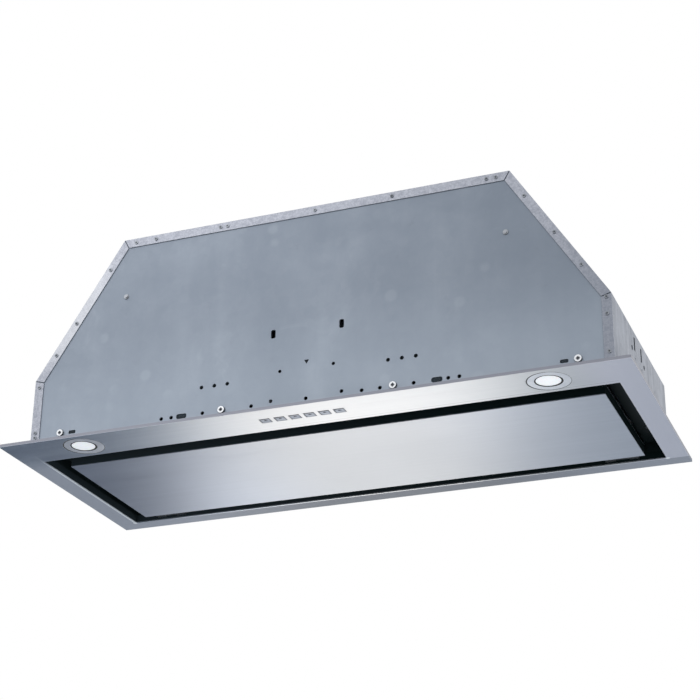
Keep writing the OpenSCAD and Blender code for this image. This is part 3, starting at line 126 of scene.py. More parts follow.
class Look:
    """One node material. add() makes a node, sets or links its inputs and returns it."""

    def __init__(self, name, **fixed):
        self.material = bpy.data.materials.new(name)
        self.material.use_nodes = True
        self.tree = self.material.node_tree
        self.tree.nodes.clear()
        self.out = self.add("OutputMaterial")
        self.shader = self.add("BsdfPrincipled", **fixed)
        self.join(self.shader.outputs[0], self.out.inputs["Surface"])
        self.place = self.add("TexCoord").outputs["Object"]

    def join(self, source, target):
        self.tree.links.new(source, target)

    def add(self, kind, attributes=None, **inputs):
        node = self.tree.nodes.new("ShaderNode" + kind)
        for key, value in (attributes or {}).items():
            setattr(node, key, value)
        for key, value in inputs.items():
            name = key.replace("_", " ")
            socket = node.inputs[int(key[1:])] if key[0] == "i" and key[1:].isdigit() else node.inputs[name]
            if isinstance(value, bpy.types.NodeSocket):
                self.join(value, socket)
            else:
                socket.default_value = value
        return node

    def stretch(self, x, y, z):
        return self.add("Mapping", Vector=self.place, Scale=(x, y, z)).outputs[0]

    def noise(self, scale, detail=3, rough=0.5, place=None, twist=0):
        return self.add("TexNoise", Vector=place or self.place, Scale=scale, Detail=detail,
                        Roughness=rough, Distortion=twist).outputs[0]

    def spots(self, scale, output="Distance", random=1):
        return self.add("TexVoronoi", Vector=self.place, Scale=scale, Randomness=random).outputs[output]

    def ramp(self, value, low, high, out_low=0, out_high=1):
        """Smooth step from low to high; low may be the greater."""
        return self.add("MapRange", {"interpolation_type": "SMOOTHSTEP"},
                        Value=value, From_Min=low, From_Max=high, To_Min=out_low, To_Max=out_high).outputs[0]

    def math(self, kind, a, b=0.0):
        return self.add("Math", {"operation": kind}, i0=a, i1=b).outputs[0]

    def plus(self, a, b):
        return self.math("ADD", a, b)

    def minus(self, a, b):
        return self.math("SUBTRACT", a, b)

    def times(self, a, b):
        return self.math("MULTIPLY", a, b)

    def most(self, a, b):
        return self.math("MAXIMUM", a, b)

    def size(self, a):
        return self.math("ABSOLUTE", a)

    def mix(self, share, a, b, kind="MIX"):
        return self.add("Mix", {"data_type": "RGBA", "blend_type": kind}, i0=share, i6=a, i7=b).outputs[2]

    def grey_of(self, colour):
        return self.add("RGBToBW", Color=colour).outputs[0]

    def axes(self):
        split = self.add("SeparateXYZ", Vector=self.place)
        return [split.outputs[name] for name in "XYZ"]

    def facing(self, name):
        """How squarely a face looks along this axis, 0 to 1."""
        normal = self.add("NewGeometry").outputs["Normal"]
        return self.size(self.add("SeparateXYZ", Vector=normal).outputs[name])

    def edge(self, radius):
        """1 on sharp edges, 0 on flats."""
        rounded = self.add("Bevel", {"samples": 4}, Radius=radius).outputs[0]
        flat = self.add("NewGeometry").outputs["Normal"]
        along = self.add("VectorMath", {"operation": "DOT_PRODUCT"}, i0=rounded, i1=flat).outputs["Value"]
        return self.ramp(along, 0.99, 0.8)

    def bump(self, height, strength, depth, edge_radius=0):
        inputs = {"Height": height, "Strength": strength, "Distance": depth}
        if edge_radius:
            inputs["Normal"] = self.add("Bevel", {"samples": 4}, Radius=edge_radius).outputs[0]
        self.join(self.add("Bump", **inputs).outputs[0], self.shader.inputs["Normal"])

    def set(self, name, source):
        self.join(source, self.shader.inputs[name])


def brushed(name, dark, light, rough, turn, returns=None, hem=None, rim=None, painted_reflection_tint=None):
    """Rolled and brushed sheet: long fine grain along X, faint cloudy tone, a painted highlight on the edges.
    returns = (half width, front, rear): inside these the turned-up walls get a dark teal painted shade,
    lighter towards the left.
    hem = (half width, half depth): outside these the folded edge gets a darker painted shade.
    rim = (half width, front, rear): outside these the left and rear bars get a dull, nearly even painted grey
    for what they reflect, lighter towards both ends.
    tint = painted reflection tones over the left end, the middle and the right end of the sheet."""
    look = Look(name, Metallic=1, Anisotropic=turn, Specular_IOR_Level=0.1 if returns else 0.5)
    x, y, z = look.axes()
    grain = look.noise(1, 6, 0.65, look.stretch(7, 900, 900))
    broad = look.noise(1, 4, 0.6, look.stretch(1.6, 120, 120))
    cloud = look.noise(4.5, 2, 0.5)
    mixed = look.plus(look.times(grain, 0.5), look.times(broad, 0.5))
    colour = look.mix(look.ramp(look.plus(mixed, look.times(cloud, 0.35)), 0.45, 0.9), dark, light)
    # painted reflection: tint shades the sheet's left end, middle and right end
    if painted_reflection_tint:
        left, middle, right = painted_reflection_tint
        shade = look.mix(look.ramp(x, -0.27, -0.02), left, middle)
        shade = look.mix(look.ramp(x, 0.08, 0.32), shade, right)
        colour = look.mix(1.0, colour, shade, kind="MULTIPLY")
    # painted highlight on the sharp edges
    colour = look.mix(look.times(look.edge(0.7 * MM), 0.2), colour, (0.8, 0.81, 0.83, 1))
    shine = None
    dulled = 0.0
    if rim:
        half, front, rear = rim
        left_bar = look.times(look.ramp(x, -half + 1 * MM, -half), look.ramp(y, front, front + 80 * MM))
        dull = look.most(left_bar, look.ramp(y, rear, rear + 1 * MM))
        # painted reflection: the bars' dull, nearly even grey stands in for what they reflect
        painted_rim_light = look.mix(look.ramp(mixed, 0.35, 0.7), (0.24, 0.252, 0.285, 1), (0.29, 0.303, 0.34, 1))
        # painted light: lighter towards the left end and the right end
        painted_rim_light = look.mix(look.ramp(x, -0.05, -0.38), painted_rim_light, (0.47, 0.49, 0.55, 1))
        painted_rim_light = look.mix(look.ramp(x, 0.12, 0.4), painted_rim_light, (0.42, 0.435, 0.49, 1))
        # painted reflection: the right end of the front bar and the right bar are paler and more violet
        colour = look.mix(look.ramp(x, 0.34, 0.415), colour, (0.69, 0.69, 0.77, 1))
        # painted highlight along the left bar's inner rolled edge
        roll_highlight = look.times(look.ramp(x, -half - 3.2 * MM, -half - 2 * MM),
                          look.ramp(y, rear - 1 * MM, rear - 2 * MM))
        painted_rim_light = look.mix(roll_highlight, painted_rim_light, (0.93, 0.95, 0.98, 1))
        # painted highlight: bright relief notches at the opening's rear corners
        off_x = look.minus(look.size(x), half + 1.4 * MM)
        off_y = look.minus(y, rear - 1.2 * MM)
        off = look.math("SQRT", look.plus(look.times(off_x, off_x), look.times(off_y, off_y)))
        notch_highlight = look.ramp(off, 3.4 * MM, 2.9 * MM)
        painted_rim_light = look.mix(notch_highlight, painted_rim_light, (0.97, 0.98, 1, 1))
        # painted shade along the fold where the front bar turns up into the opening
        crease_shade = look.ramp(look.size(look.minus(y, CREASE)), 0.7 * MM, 0.3 * MM)
        crease_shade = look.times(crease_shade, look.times(look.ramp(x, -0.12, 0.02), look.ramp(x, half, half - 1 * MM)))
        colour = look.mix(look.times(crease_shade, 0.4), colour, (0.2, 0.21, 0.22, 1))
        dull = look.most(dull, notch_highlight)
        colour = look.mix(dull, colour, painted_rim_light)
        shine = look.minus(1.0, look.times(dull, 0.92))
        look.set("Metallic", shine)
    if returns:
        half, front, rear = returns
        inside = look.times(look.math("LESS_THAN", look.size(x), half), look.math("GREATER_THAN", y, front))
        inside = look.times(inside, look.math("LESS_THAN", y, rear))
        inside = look.times(inside, look.ramp(z, 1.1 * MM, 1.7 * MM))
        dulled = look.times(inside, 0.5)
        # painted shade: the turned-up walls are dark teal, lighter towards the left
        teal = look.mix(look.ramp(x, 0.3, -0.3), (0.006, 0.014, 0.014, 1), (0.034, 0.046, 0.052, 1))
        colour = look.mix(inside, colour, teal)
        metal = look.minus(1.0, inside)
        look.set("Metallic", look.math("MINIMUM", metal, shine) if shine else metal)
    if hem:
        # painted shade: the folded edge outside the hem lines is darker
        outside = look.most(look.math("GREATER_THAN", look.size(x), hem[0]),
                            look.math("GREATER_THAN", look.size(y), hem[1]))
        outside = look.times(outside, look.ramp(z, 0.1 * MM, 0.5 * MM))
        colour = look.mix(outside, colour, (0.25, 0.258, 0.3, 1))
    look.set("Base Color", colour)
    look.set("Roughness", look.plus(look.ramp(mixed, 0.3, 0.7, rough - 0.03, rough + 0.04), dulled))
    look.set("Tangent", look.add("Tangent", {"direction_type": "RADIAL", "axis": "X"}).outputs[0])
    look.bump(grain, 0.07, 0.05 * MM, 0.4 * MM)
    return look.material


def galvanised(name, dark, light, rough=0.42, spangle=95, streak=(1, 1, 1), blotch=0.5,
               flower=0.2, lip=None, lined=0.35, edge_wear_and_highlight=0.55, plate=False):
    """Hot-dip zinc sheet: crystal spangle, soft blotches, roller streaks, a painted highlight on the edges.
    lip = depth of the front face: before it lie the pale folded edges.
    plate = the front: painted shadow beside the folded edges, white bloom, stains, painted shade towards the
    right end and painted light towards the bottom."""
    look = Look(name, Metallic=0.75)
    x, y, z = look.axes()
    crystal = look.grey_of(look.spots(spangle, output="Color"))
    fine = look.grey_of(look.spots(spangle * 2.7, output="Color"))
    cloud = look.noise(9, 4, 0.6, twist=0.6)
    lines = look.noise(1, 5, 0.6, look.stretch(*streak))
    value = look.plus(look.times(crystal, flower), look.times(fine, flower * 0.5))
    value = look.plus(value, look.times(cloud, blotch))
    value = look.plus(value, look.times(lines, lined))
    colour = look.mix(look.ramp(value, 0.25, 0.5 + lined), dark, light)
    # painted highlight on the sharp edges, weighted by worn
    colour = look.mix(look.times(look.edge(0.8 * MM), edge_wear_and_highlight), colour, (0.72, 0.75, 0.8, 1))
    dirt = look.ramp(look.noise(38, 3, 0.7), 0.62, 0.78)
    colour = look.mix(look.times(dirt, 0.12), colour, (0.16, 0.17, 0.19, 1))
    if lip:
        # calm spangle on the sloping and flat faces
        upright = look.ramp(look.facing("Z"), 0.3, 0.1)
        calm = look.plus(look.times(crystal, 0.42), look.times(fine, 0.3))
        calm = look.ramp(look.plus(calm, look.times(cloud, 0.28)), 0.2, 0.75)
        spangled = look.mix(calm, (0.24, 0.262, 0.305, 1), (0.36, 0.382, 0.43, 1))
        colour = look.mix(upright, spangled, colour)
        # folded edges in front: pale and finely speckled, with painted shade towards the right and a painted
        # light patch on the left slope
        speckle = look.ramp(look.plus(look.noise(420, 4, 0.65), look.times(fine, 0.2)), 0.36, 0.84)
        pale = look.mix(speckle, (0.3, 0.315, 0.365, 1), (0.44, 0.455, 0.51, 1))
        pale = look.mix(look.ramp(x, 0.3, 0.42, 0, 0.55), pale, (0.16, 0.18, 0.22, 1))
        sunny = look.times(look.ramp(x, -0.285, -0.33), look.ramp(z, 0.11, 0.16))
        pale = look.mix(look.times(sunny, 0.5), pale, (0.66, 0.67, 0.7, 1))
        colour = look.mix(look.math("LESS_THAN", y, lip), colour, pale)
    if plate:
        bloom = look.ramp(look.noise(13, 4, 0.62, look.stretch(1, 1, 0.8), 0.8), 0.6, 0.76)
        colour = look.mix(look.times(bloom, 0.16), colour, (0.5, 0.54, 0.6, 1))
        drip = look.ramp(look.noise(1, 3, 0.6, look.stretch(26, 26, 4)), 0.56, 0.75)
        colour = look.mix(look.times(drip, 0.07), colour, (0.46, 0.5, 0.56, 1))
        stain = look.times(look.ramp(look.spots(15), 0.17, 0.09),
                           look.ramp(look.noise(7, 2, 0.5, twist=0.4), 0.42, 0.54))
        colour = look.mix(look.times(stain, 0.13), colour, (0.58, 0.62, 0.68, 1))
        # painted shade: darker towards the right end
        colour = look.mix(look.ramp(x, -0.2, 0.42, 0, 0.4), colour, (0.12, 0.145, 0.18, 1))
        # painted light: lighter towards the bottom
        colour = look.mix(look.ramp(z, 10 * MM, 190 * MM, 0.32, 0.03), colour, (0.5, 0.56, 0.64, 1))
        # painted shadow beside the folded edges, where little is open around
        open_sky = look.add("AmbientOcclusion", {"samples": 6}, Distance=3 * MM).outputs["AO"]
        colour = look.mix(look.ramp(open_sky, 0.35, 0.86, 0.85, 0), colour, (0.04, 0.05, 0.06, 1))
    look.set("Base Color", colour)
    look.set("Roughness", look.ramp(value, 0.25, 0.85, rough + 0.08, rough - 0.08))
    look.bump(look.plus(crystal, cloud), 0.1, 0.08 * MM, 0.4 * MM)
    return look.material


def painted(name, dark, light, rough, wear=(0.3, 0.31, 0.33, 1), spec=0.5):
    """Powder coat: fine orange peel, slight tone, wear along the edges."""
    look = Look(name, Specular_IOR_Level=spec)
    peel = look.noise(900, 3, 0.5)
    cloud = look.noise(14, 3, 0.6)
    colour = look.mix(look.ramp(cloud, 0.3, 0.7), dark, light)
    speck = look.ramp(look.noise(360, 2, 0.5), 0.66, 0.74)
    colour = look.mix(look.times(speck, 0.15), colour, wear)
    edge_wear_and_highlight = look.times(look.edge(0.6 * MM), look.ramp(look.noise(70, 4, 0.7), 0.42, 0.62))
    colour = look.mix(look.times(edge_wear_and_highlight, 0.7), colour, wear)
    look.set("Base Color", colour)
    look.set("Roughness", look.ramp(cloud, 0.3, 0.7, rough - 0.06, rough + 0.08))
    look.bump(peel, 0.25, 0.04 * MM, 0.4 * MM)
    return look.material


def plastic(name, dark, light, rough=0.4, spec=0.5):
    """Moulded plastic: fine spark texture, soft flow tone, a painted highlight on the rounded edges."""
    look = Look(name, Specular_IOR_Level=spec)
    texture = look.noise(1400, 2, 0.6)
    flow = look.noise(22, 3, 0.6, twist=1.2)
    colour = look.mix(look.ramp(flow, 0.3, 0.7), dark, light)
    # painted highlight on the rounded edges
    colour = look.mix(look.times(look.edge(0.5 * MM), 0.18), colour, (0.6, 0.6, 0.62, 1))
    look.set("Base Color", colour)
    look.set("Roughness", look.ramp(texture, 0.3, 0.7, rough - 0.05, rough + 0.1))
    look.bump(texture, 0.2, 0.03 * MM, 0.35 * MM)
    return look.material


def plated(name, dark, light, rough=0.3, scale=260, metal=1.0, front=None):
    """Small plated or turned metal parts: fine mottling, a painted highlight on the edges.
    front = heads before this depth get a painted highlight on the face and painted shade round the side."""
    look = Look(name, Metallic=metal)
    mottle = look.noise(scale, 4, 0.65)
    wide = look.noise(scale * 0.14, 3, 0.6)
    value = look.plus(look.times(mottle, 0.5), look.times(wide, 0.5))
    colour = look.mix(look.ramp(value, 0.35, 0.65), dark, light)
    # painted highlight on the edges
    colour = look.mix(look.times(look.edge(0.4 * MM), 0.5), colour, (0.9, 0.9, 0.9, 1))
    if front:
        _, y, z = look.axes()
        # painted light: highlight on each head's face, shade round its side, the domed heads darker
        domed = look.ramp(z, HIGH_HEADS - 10 * MM, HIGH_HEADS + 10 * MM)
        top = look.mix(domed, (0.74, 0.76, 0.79, 1), (0.58, 0.61, 0.66, 1))
        facing = look.minus(look.facing("Y"), look.times(domed, 0.13))
        painted_head_light = look.mix(look.ramp(facing, 0.78, 0.95), (0.03, 0.035, 0.045, 1), top)
        colour = look.mix(look.math("LESS_THAN", y, front), colour, painted_head_light)
    look.set("Base Color", colour)
    look.set("Roughness", look.ramp(value, 0.35, 0.65, rough + 0.08, rough - 0.06))
    look.bump(mottle, 0.15, 0.03 * MM, 0.25 * MM)
    return look.material


def opal_glass():
    """Lamp lens: satin white cover with a faint prism grid and a faint painted glow."""
    # Emission_Strength gives the lens a faint painted glow
    look = Look("opal_lens", IOR=1.5, Coat_Weight=0.35, Coat_Roughness=0.12, Subsurface_Weight=0.2,
                Subsurface_Scale=0.002, Emission_Strength=0.42)
    grid = look.spots(520, random=0.25)
    haze = look.noise(60, 3, 0.6)
    colour = look.mix(look.ramp(haze, 0.3, 0.7), tone(236, 238, 240), tone(247, 248, 249))
    look.set("Base Color", colour)
    look.shader.inputs["Emission Color"].default_value = (1, 1, 1, 1)
    look.set("Roughness", look.ramp(grid, 0.1, 0.6, 0.22, 0.34))
    look.bump(grid, 0.2, 0.12 * MM, 0.3 * MM)
    return look.material


def button_metal():
    """Push buttons: satin metal with painted shade at the front edge, at the ends and in the mark's recess,
    and dark round the mark.
    """
    look = Look("button_silver_look", Metallic=0.85)
    x, y, z = look.axes()
    satin = look.noise(1, 4, 0.6, look.stretch(120, 1400, 1400))
    cloud = look.noise(160, 3, 0.6)
    colour = look.mix(look.ramp(look.plus(satin, cloud), 0.7, 1.3), (0.25, 0.275, 0.33, 1),
                      (0.38, 0.41, 0.48, 1))
    turn = look.math("FRACT", look.math("DIVIDE", look.plus(x, BUTTON_SHIFT), BUTTON_PITCH))
    along = look.times(look.size(look.minus(turn, 0.5)), BUTTON_PITCH / MM)
    # painted shade: darker towards the ends, the front edge and in the mark's recess
    ends = look.ramp(along, 4.9, 6.9)
    brow = look.ramp(y, -151.8 * MM, -156.0 * MM)
    shade = look.times(look.most(look.times(ends, 0.7), brow), 0.95)
    shade = look.most(shade, look.ramp(z, 0.23 * MM, 0.3 * MM))
    deep = look.math("DIVIDE", look.minus(y, BUTTON_Y), MM)
    away = look.plus(look.times(along, along), look.times(deep, deep))
    shade = look.most(shade, look.ramp(away, 3.2, 1.2))
    look.set("Base Color", look.mix(shade, colour, (0.035, 0.037, 0.045, 1)))
    look.set("Roughness", look.ramp(cloud, 0.3, 0.7, 0.36, 0.5))
    look.bump(satin, 0.15, 0.03 * MM, 0.3 * MM)
    return look.material


def circuit_board():
    """Green laminate with lighter tracks."""
    look = Look("circuit_board", Specular_IOR_Level=0.5)
    tracks = look.add("TexBrick", {"offset": 0.5}, Vector=look.place, Scale=170.0, Mortar_Size=0.03,
                      Color1=tone(34, 92, 58), Color2=tone(28, 80, 50), Mortar=tone(62, 128, 84))
    weave = look.noise(1500, 2, 0.5)
    colour = look.mix(look.ramp(weave, 0.3, 0.7, 0, 0.2), tracks.outputs["Color"], tone(74, 132, 92))
    look.set("Base Color", colour)
    look.set("Roughness", look.ramp(weave, 0.3, 0.7, 0.3, 0.45))
    look.bump(tracks.outputs["Fac"], 0.3, 0.05 * MM, 0.3 * MM)
    return look.material


def rubber(name, dark, light):
    """Dull rubber with a faint bloom."""
    look = Look(name, Specular_IOR_Level=0.35, Sheen_Weight=0.1)
    skin = look.noise(1100, 3, 0.6)
    bloom = look.noise(30, 4, 0.6)
    look.set("Base Color", look.mix(look.ramp(bloom, 0.35, 0.75), dark, light))
    look.set("Roughness", look.ramp(skin, 0.3, 0.7, 0.6, 0.75))
    look.bump(skin, 0.3, 0.05 * MM, 0.4 * MM)
    return look.material


finish = {
    "stainless_flange": brushed("stainless_flange_look", (0.578, 0.604, 0.647, 1), (0.668, 0.689, 0.726, 1),
                                0.36, 0.4, returns=RETURNS, hem=HEM, rim=RIM,
                                painted_reflection_tint=((0.88, 0.93, 1, 1), (0.925, 0.91, 0.9, 1), (0.955, 0.95, 0.945, 1))),
    "stainless_panel": brushed("stainless_panel_look", (0.479, 0.513, 0.57, 1), (0.547, 0.581, 0.638, 1),
                               0.36, 0.4, returns=(1, -1, 1),
                               painted_reflection_tint=((0.87, 0.893, 0.958, 1), (0.835, 0.815, 0.8, 1), (0.97, 0.97, 1, 1))),
    "galvanised_plate": galvanised("galvanised_plate_look", (0.25, 0.285, 0.34, 1), (0.35, 0.385, 0.44, 1),
                                   0.46, 80, (13, 13, 3), 0.4, 0.05, plate=True),
    "galvanised_side": galvanised("galvanised_side_look", (0.08, 0.1, 0.14, 1), (0.4, 0.43, 0.5, 1),
                                  0.42, 70, (60, 60, 3), flower=0.12, lip=PLATE_FACE - 0.5 * MM,
                                  lined=0.85, edge_wear_and_highlight=0.3),
    "galvanised_backer": galvanised("galvanised_backer_look", (0.26, 0.29, 0.33, 1), (0.44, 0.47, 0.52, 1)),
    "galvanised_scroll": galvanised("galvanised_scroll_look", (0.34, 0.37, 0.41, 1), (0.56, 0.59, 0.63, 1),
                                    0.36, 60),
    "liner_paint": painted("liner_paint_look", (0.006, 0.012, 0.012, 1), (0.012, 0.02, 0.021, 1), 0.55,
                           wear=(0.08, 0.09, 0.1, 1), spec=0.15),
    "rail_paint": painted("rail_paint_look", (0.007, 0.013, 0.014, 1), (0.015, 0.022, 0.023, 1), 0.5,
                          wear=(0.12, 0.13, 0.14, 1), spec=0.2),
    "spring_steel": plated("spring_steel_look", (0.3, 0.3, 0.31, 1), (0.5, 0.5, 0.52, 1), 0.28),
    # painted shade: the hinge leaves sit in the shaded gap behind the panel and are coloured far darker than
    # bare zinc
    "zinc_hinge": plated("zinc_hinge_look", (0.05, 0.056, 0.06, 1), (0.11, 0.118, 0.125, 1), 0.42),
    "zinc_box": galvanised("zinc_box_look", (0.36, 0.38, 0.42, 1), (0.56, 0.58, 0.62, 1), 0.36, 120),
    "pin_steel": plated("pin_steel_look", (0.42, 0.42, 0.43, 1), (0.6, 0.6, 0.62, 1), 0.22),
    "screw_zinc": plated("screw_zinc_look", (0.42, 0.44, 0.47, 1), (0.66, 0.68, 0.71, 1), 0.3, 420,
                         front=PLATE_FACE - 0.05 * MM),
    "wheel_steel": galvanised("wheel_steel_look", (0.3, 0.32, 0.35, 1), (0.5, 0.52, 0.56, 1), 0.36, 150),
    "rivet_aluminium": plated("rivet_aluminium_look", (0.15, 0.165, 0.19, 1), (0.3, 0.32, 0.355, 1),
                              0.36, 500),
    "filter_aluminium": brushed("filter_aluminium_look", (0.6, 0.61, 0.63, 1), (0.78, 0.79, 0.8, 1),
                                0.34, 0.5),
    "mesh_aluminium": plated("mesh_aluminium_look", (0.42, 0.43, 0.45, 1), (0.7, 0.71, 0.73, 1), 0.4, 700),
    "can_aluminium": brushed("can_aluminium_look", (0.55, 0.56, 0.58, 1), (0.74, 0.75, 0.76, 1), 0.3, 0.4),
    "lamp_ring_steel": plated("lamp_ring_look", (0.64, 0.665, 0.73, 1), (0.7, 0.725, 0.78, 1), 0.4, 90, 0.88),
    "lamp_glass": opal_glass(),
    "lamp_paint": painted("lamp_paint_look", (0.5, 0.5, 0.5, 1), (0.62, 0.62, 0.62, 1), 0.4),
    "black_plastic": plastic("black_plastic_look", (0.014, 0.014, 0.015, 1), (0.03, 0.03, 0.032, 1)),
    "board_laminate": circuit_board(),
    "cream_plastic": plastic("cream_plastic_look", (0.62, 0.58, 0.47, 1), (0.72, 0.68, 0.57, 1)),
    "white_plastic": plastic("white_plastic_look", (0.68, 0.68, 0.67, 1), (0.78, 0.78, 0.77, 1)),
    "flap_plastic": plastic("flap_plastic_look", (0.03, 0.033, 0.036, 1), (0.06, 0.064, 0.07, 1), 0.45),
    "button_silver": button_metal(),
    "motor_paint": painted("motor_paint_look", (0.05, 0.052, 0.056, 1), (0.08, 0.083, 0.09, 1), 0.4),
    "collar_paint": painted("collar_paint_look", (0.05, 0.055, 0.06, 1), (0.08, 0.086, 0.094, 1), 0.42),
    "grommet_rubber": rubber("grommet_rubber_look", (0.012, 0.012, 0.012, 1), (0.03, 0.03, 0.03, 1)),
    "lead_sheath": plastic("lead_sheath_look", (0.45, 0.46, 0.48, 1), (0.6, 0.61, 0.63, 1), 0.45),
}

for part in frame["record"]["subparts"]:
    for slot in nodes[part["node"]].material_slots:
        slot.material = finish[part["material_slot"]]


# Detail pieces

def islands(node):
    """Corner points of each separate solid in a CAD node."""
    mesh = nodes[node].data
    keys = {}
    first = []
    for vertex in mesh.vertices:
        key = tuple(round(c, 6) for c in vertex.co)
        first.append(keys.setdefault(key, vertex.index))
    root = {i: i for i in set(first)}

    def top(i):
        while root[i] != i:
            root[i] = root[root[i]]
            i = root[i]
        return i

    for a, b in (edge.vertices for edge in mesh.edges):
        root[top(first[a])] = top(first[b])
    groups = {}
    for i in root:
        groups.setdefault(top(i), []).append(mesh.vertices[i].co.copy())
    return list(groups.values())


def head_of(points):
    """Centre of the head's outer face, the direction it looks and the head's radius."""
    low = Vector([min(p[k] for p in points) for k in range(3)])
    high = Vector([max(p[k] for p in points) for k in range(3)])
    size = high - low
    middle = (low + high) / 2
    gaps = [abs(size[(k + 1) % 3] - size[(k + 2) % 3]) for k in range(3)]
    k = gaps.index(min(gaps))
    ends = []
    for sign, end in ((-1, low[k]), (1, high[k])):
        near = [p for p in points if abs(p[k] - end) < size[k] * 0.4]
        ends.append((max((p - middle).length for p in near), sign, end))
    sign, end = max(ends)[1:]
    way = Vector((0, 0, 0))
    way[k] = sign
    centre = middle.copy()
    centre[k] = end
    return centre, way, max(size[(k + 1) % 3], size[(k + 2) % 3]) / 2


def placed(mesh, centre, way):
    """Turns a small form built about +Z onto its head."""
    turn = Vector((0, 0, 1)).rotation_difference(way).to_matrix().to_4x4()
    bmesh.ops.transform(mesh, matrix=Matrix.Translation(centre) @ turn, verts=mesh.verts)


def joined(name, forms, body, material, smooth=False):
    """One object out of several small bmesh forms."""
    whole = bmesh.new()
    for form in forms:
        data = bpy.data.meshes.new("part")
        form.to_mesh(data)
        form.free()
        whole.from_mesh(data)
        bpy.data.meshes.remove(data)
    mesh = bpy.data.meshes.new(name)
    whole.to_mesh(mesh)
    whole.free()
    mesh.materials.append(material)
    if smooth:
        for face in mesh.polygons:
            face.use_smooth = True
    thing = bpy.data.objects.new(name, mesh)
    scene.collection.objects.link(thing)
    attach(thing, body)
    return thing


def turned(profile, steps):
    """Wall turned about Z from (radius, height) points, with its rows of corners."""
    form = bmesh.new()
    rings = []
    for radius, height in profile:
        ring = []
        for i in range(steps):
            a = 2 * math.pi * i / steps
            ring.append(form.verts.new((radius * math.cos(a), radius * math.sin(a), height)))
        rings.append(ring)
    for low, high in zip(rings, rings[1:]):
        for i in range(steps):
            j = (i + 1) % steps
            form.faces.new((low[i], low[j], high[j], high[i]))
    return form, rings


def closed_ring(profile, steps):
    """Ring whose profile closes on itself."""
    form, rings = turned(profile, steps)
    for i in range(steps):
        j = (i + 1) % steps
        form.faces.new((rings[-1][i], rings[-1][j], rings[0][j], rings[0][i]))
    bmesh.ops.recalc_face_normals(form, faces=form.faces)
    return form


def cap(profile, steps):
    """Cap or cup: a face closes each end of the profile."""
    form, rings = turned(profile, steps)
    form.faces.new(rings[0])
    form.faces.new(rings[-1])
    bmesh.ops.recalc_face_normals(form, faces=form.faces)
    return form


def cross(reach, width, rise):
    """Bottom of a cross recess: four tapering arms round a square centre."""
    form = bmesh.new()
    outline = []
    for quarter in range(4):
        a = quarter * math.pi / 2
        for x, y in ((reach, -width * 0.38), (reach, width * 0.38), (width, width)):
            outline.append((x * math.cos(a) - y * math.sin(a), x * math.sin(a) + y * math.cos(a)))
    low = [form.verts.new((x, y, -rise)) for x, y in outline]
    high = [form.verts.new((x, y, rise)) for x, y in outline]
    form.faces.new(high)
    form.faces.new(list(reversed(low)))
    for i in range(len(low)):
        j = (i + 1) % len(low)
        form.faces.new((low[i], low[j], high[j], high[i]))
    return form


def painted_recess_shade():
    """Painted shade for the bottom of a recess, finely mottled."""
    look = Look("painted_recess_shade", Metallic=0.4)
    shade_mottle = look.noise(900, 3, 0.6)
    look.set("Base Color", look.mix(look.ramp(shade_mottle, 0.3, 0.7), (0.018, 0.02, 0.024, 1),
                                    (0.06, 0.065, 0.075, 1)))
    look.set("Roughness", look.ramp(shade_mottle, 0.3, 0.7, 0.5, 0.75))
    return look.material


recess_look = painted_recess_shade()


def screw_recess_shades():
    """Dark cross, painted shade of the recess, on every head but the domed ones; the front's pan heads also
    have a grey dish.
    """
    stars = []
    dishes = []
    for node, reach, width in (("plate_screws", 0.46, 0.23), ("assembly_screws", 0.5, 0.17)):
        for points in islands(node):
            centre, way, radius = head_of(points)
            if node == "plate_screws" and centre.z > HIGH_HEADS:
                continue
            # painted shade: a dark cross over the head's recess
            form = cross(radius * reach, radius * width, 0.05 * MM)
            placed(form, centre + way * 0.04 * MM, way)
            stars.append(form)
            if node == "plate_screws":
                dish = cap([(radius * 0.58, -0.03 * MM), (radius * 0.58, 0.02 * MM),
                            (radius * 0.5, 0.05 * MM), (radius * 0.3, 0.03 * MM)], 28)
                placed(dish, centre, way)
                dishes.append(dish)
    joined("screw_recess_shades", stars, "housing", recess_look)
    joined("screw_dishes", dishes, "housing",
           plated("screw_dish_look", (0.22, 0.235, 0.26, 1), (0.38, 0.39, 0.42, 1), 0.4, 600))


def rivet_cores():
    """Dark dimple in the middle of each rivet, a painted shade of its hollow core."""
    cores = []
    for points in islands("edge_rivets"):
        centre, way, radius = head_of(points)
        form = cap([(radius * 0.42, -0.05 * MM), (radius * 0.42, 0.02 * MM), (radius * 0.3, 0.05 * MM),
                    (radius * 0.08, 0.03 * MM)], 14)
        placed(form, centre, way)
        cores.append(form)
    joined("rivet_cores", cores, "housing", recess_look)


def punched_holes(node, depth):
    """Centre, greatest and least reach, and corners of each hole in a plate's face at this depth."""
    mesh = nodes[node].data
    spot = [tuple(round(c, 6) for c in vertex.co) for vertex in mesh.vertices]
    sides = {}
    for face in mesh.polygons:
        flat = abs(face.normal.y) > 0.9
        ring = [spot[i] for i in face.vertices]
        for a, b in zip(ring, ring[1:] + ring[:1]):
            if abs(a[1] - depth) < 1e-5 and abs(b[1] - depth) < 1e-5:
                sides.setdefault(frozenset((a, b)), set()).add(flat)
    loops = {}
    for edge, kinds in sides.items():
        if len(kinds) == 2:
            merged = set(edge)
            for point in edge:
                merged |= loops.get(point, set())
            for point in merged:
                loops[point] = merged
    holes = []
    for loop in {id(points): points for points in loops.values()}.values():
        xs = [point[0] for point in loop]
        zs = [point[2] for point in loop]
        centre = Vector(((min(xs) + max(xs)) / 2, depth, (min(zs) + max(zs)) / 2))
        reach = [(Vector(point) - centre).length for point in loop]
        around = sorted(loop, key=lambda point: math.atan2(point[2] - centre.z, point[0] - centre.x))
        holes.append((centre, max(reach), min(reach), around))
    return holes


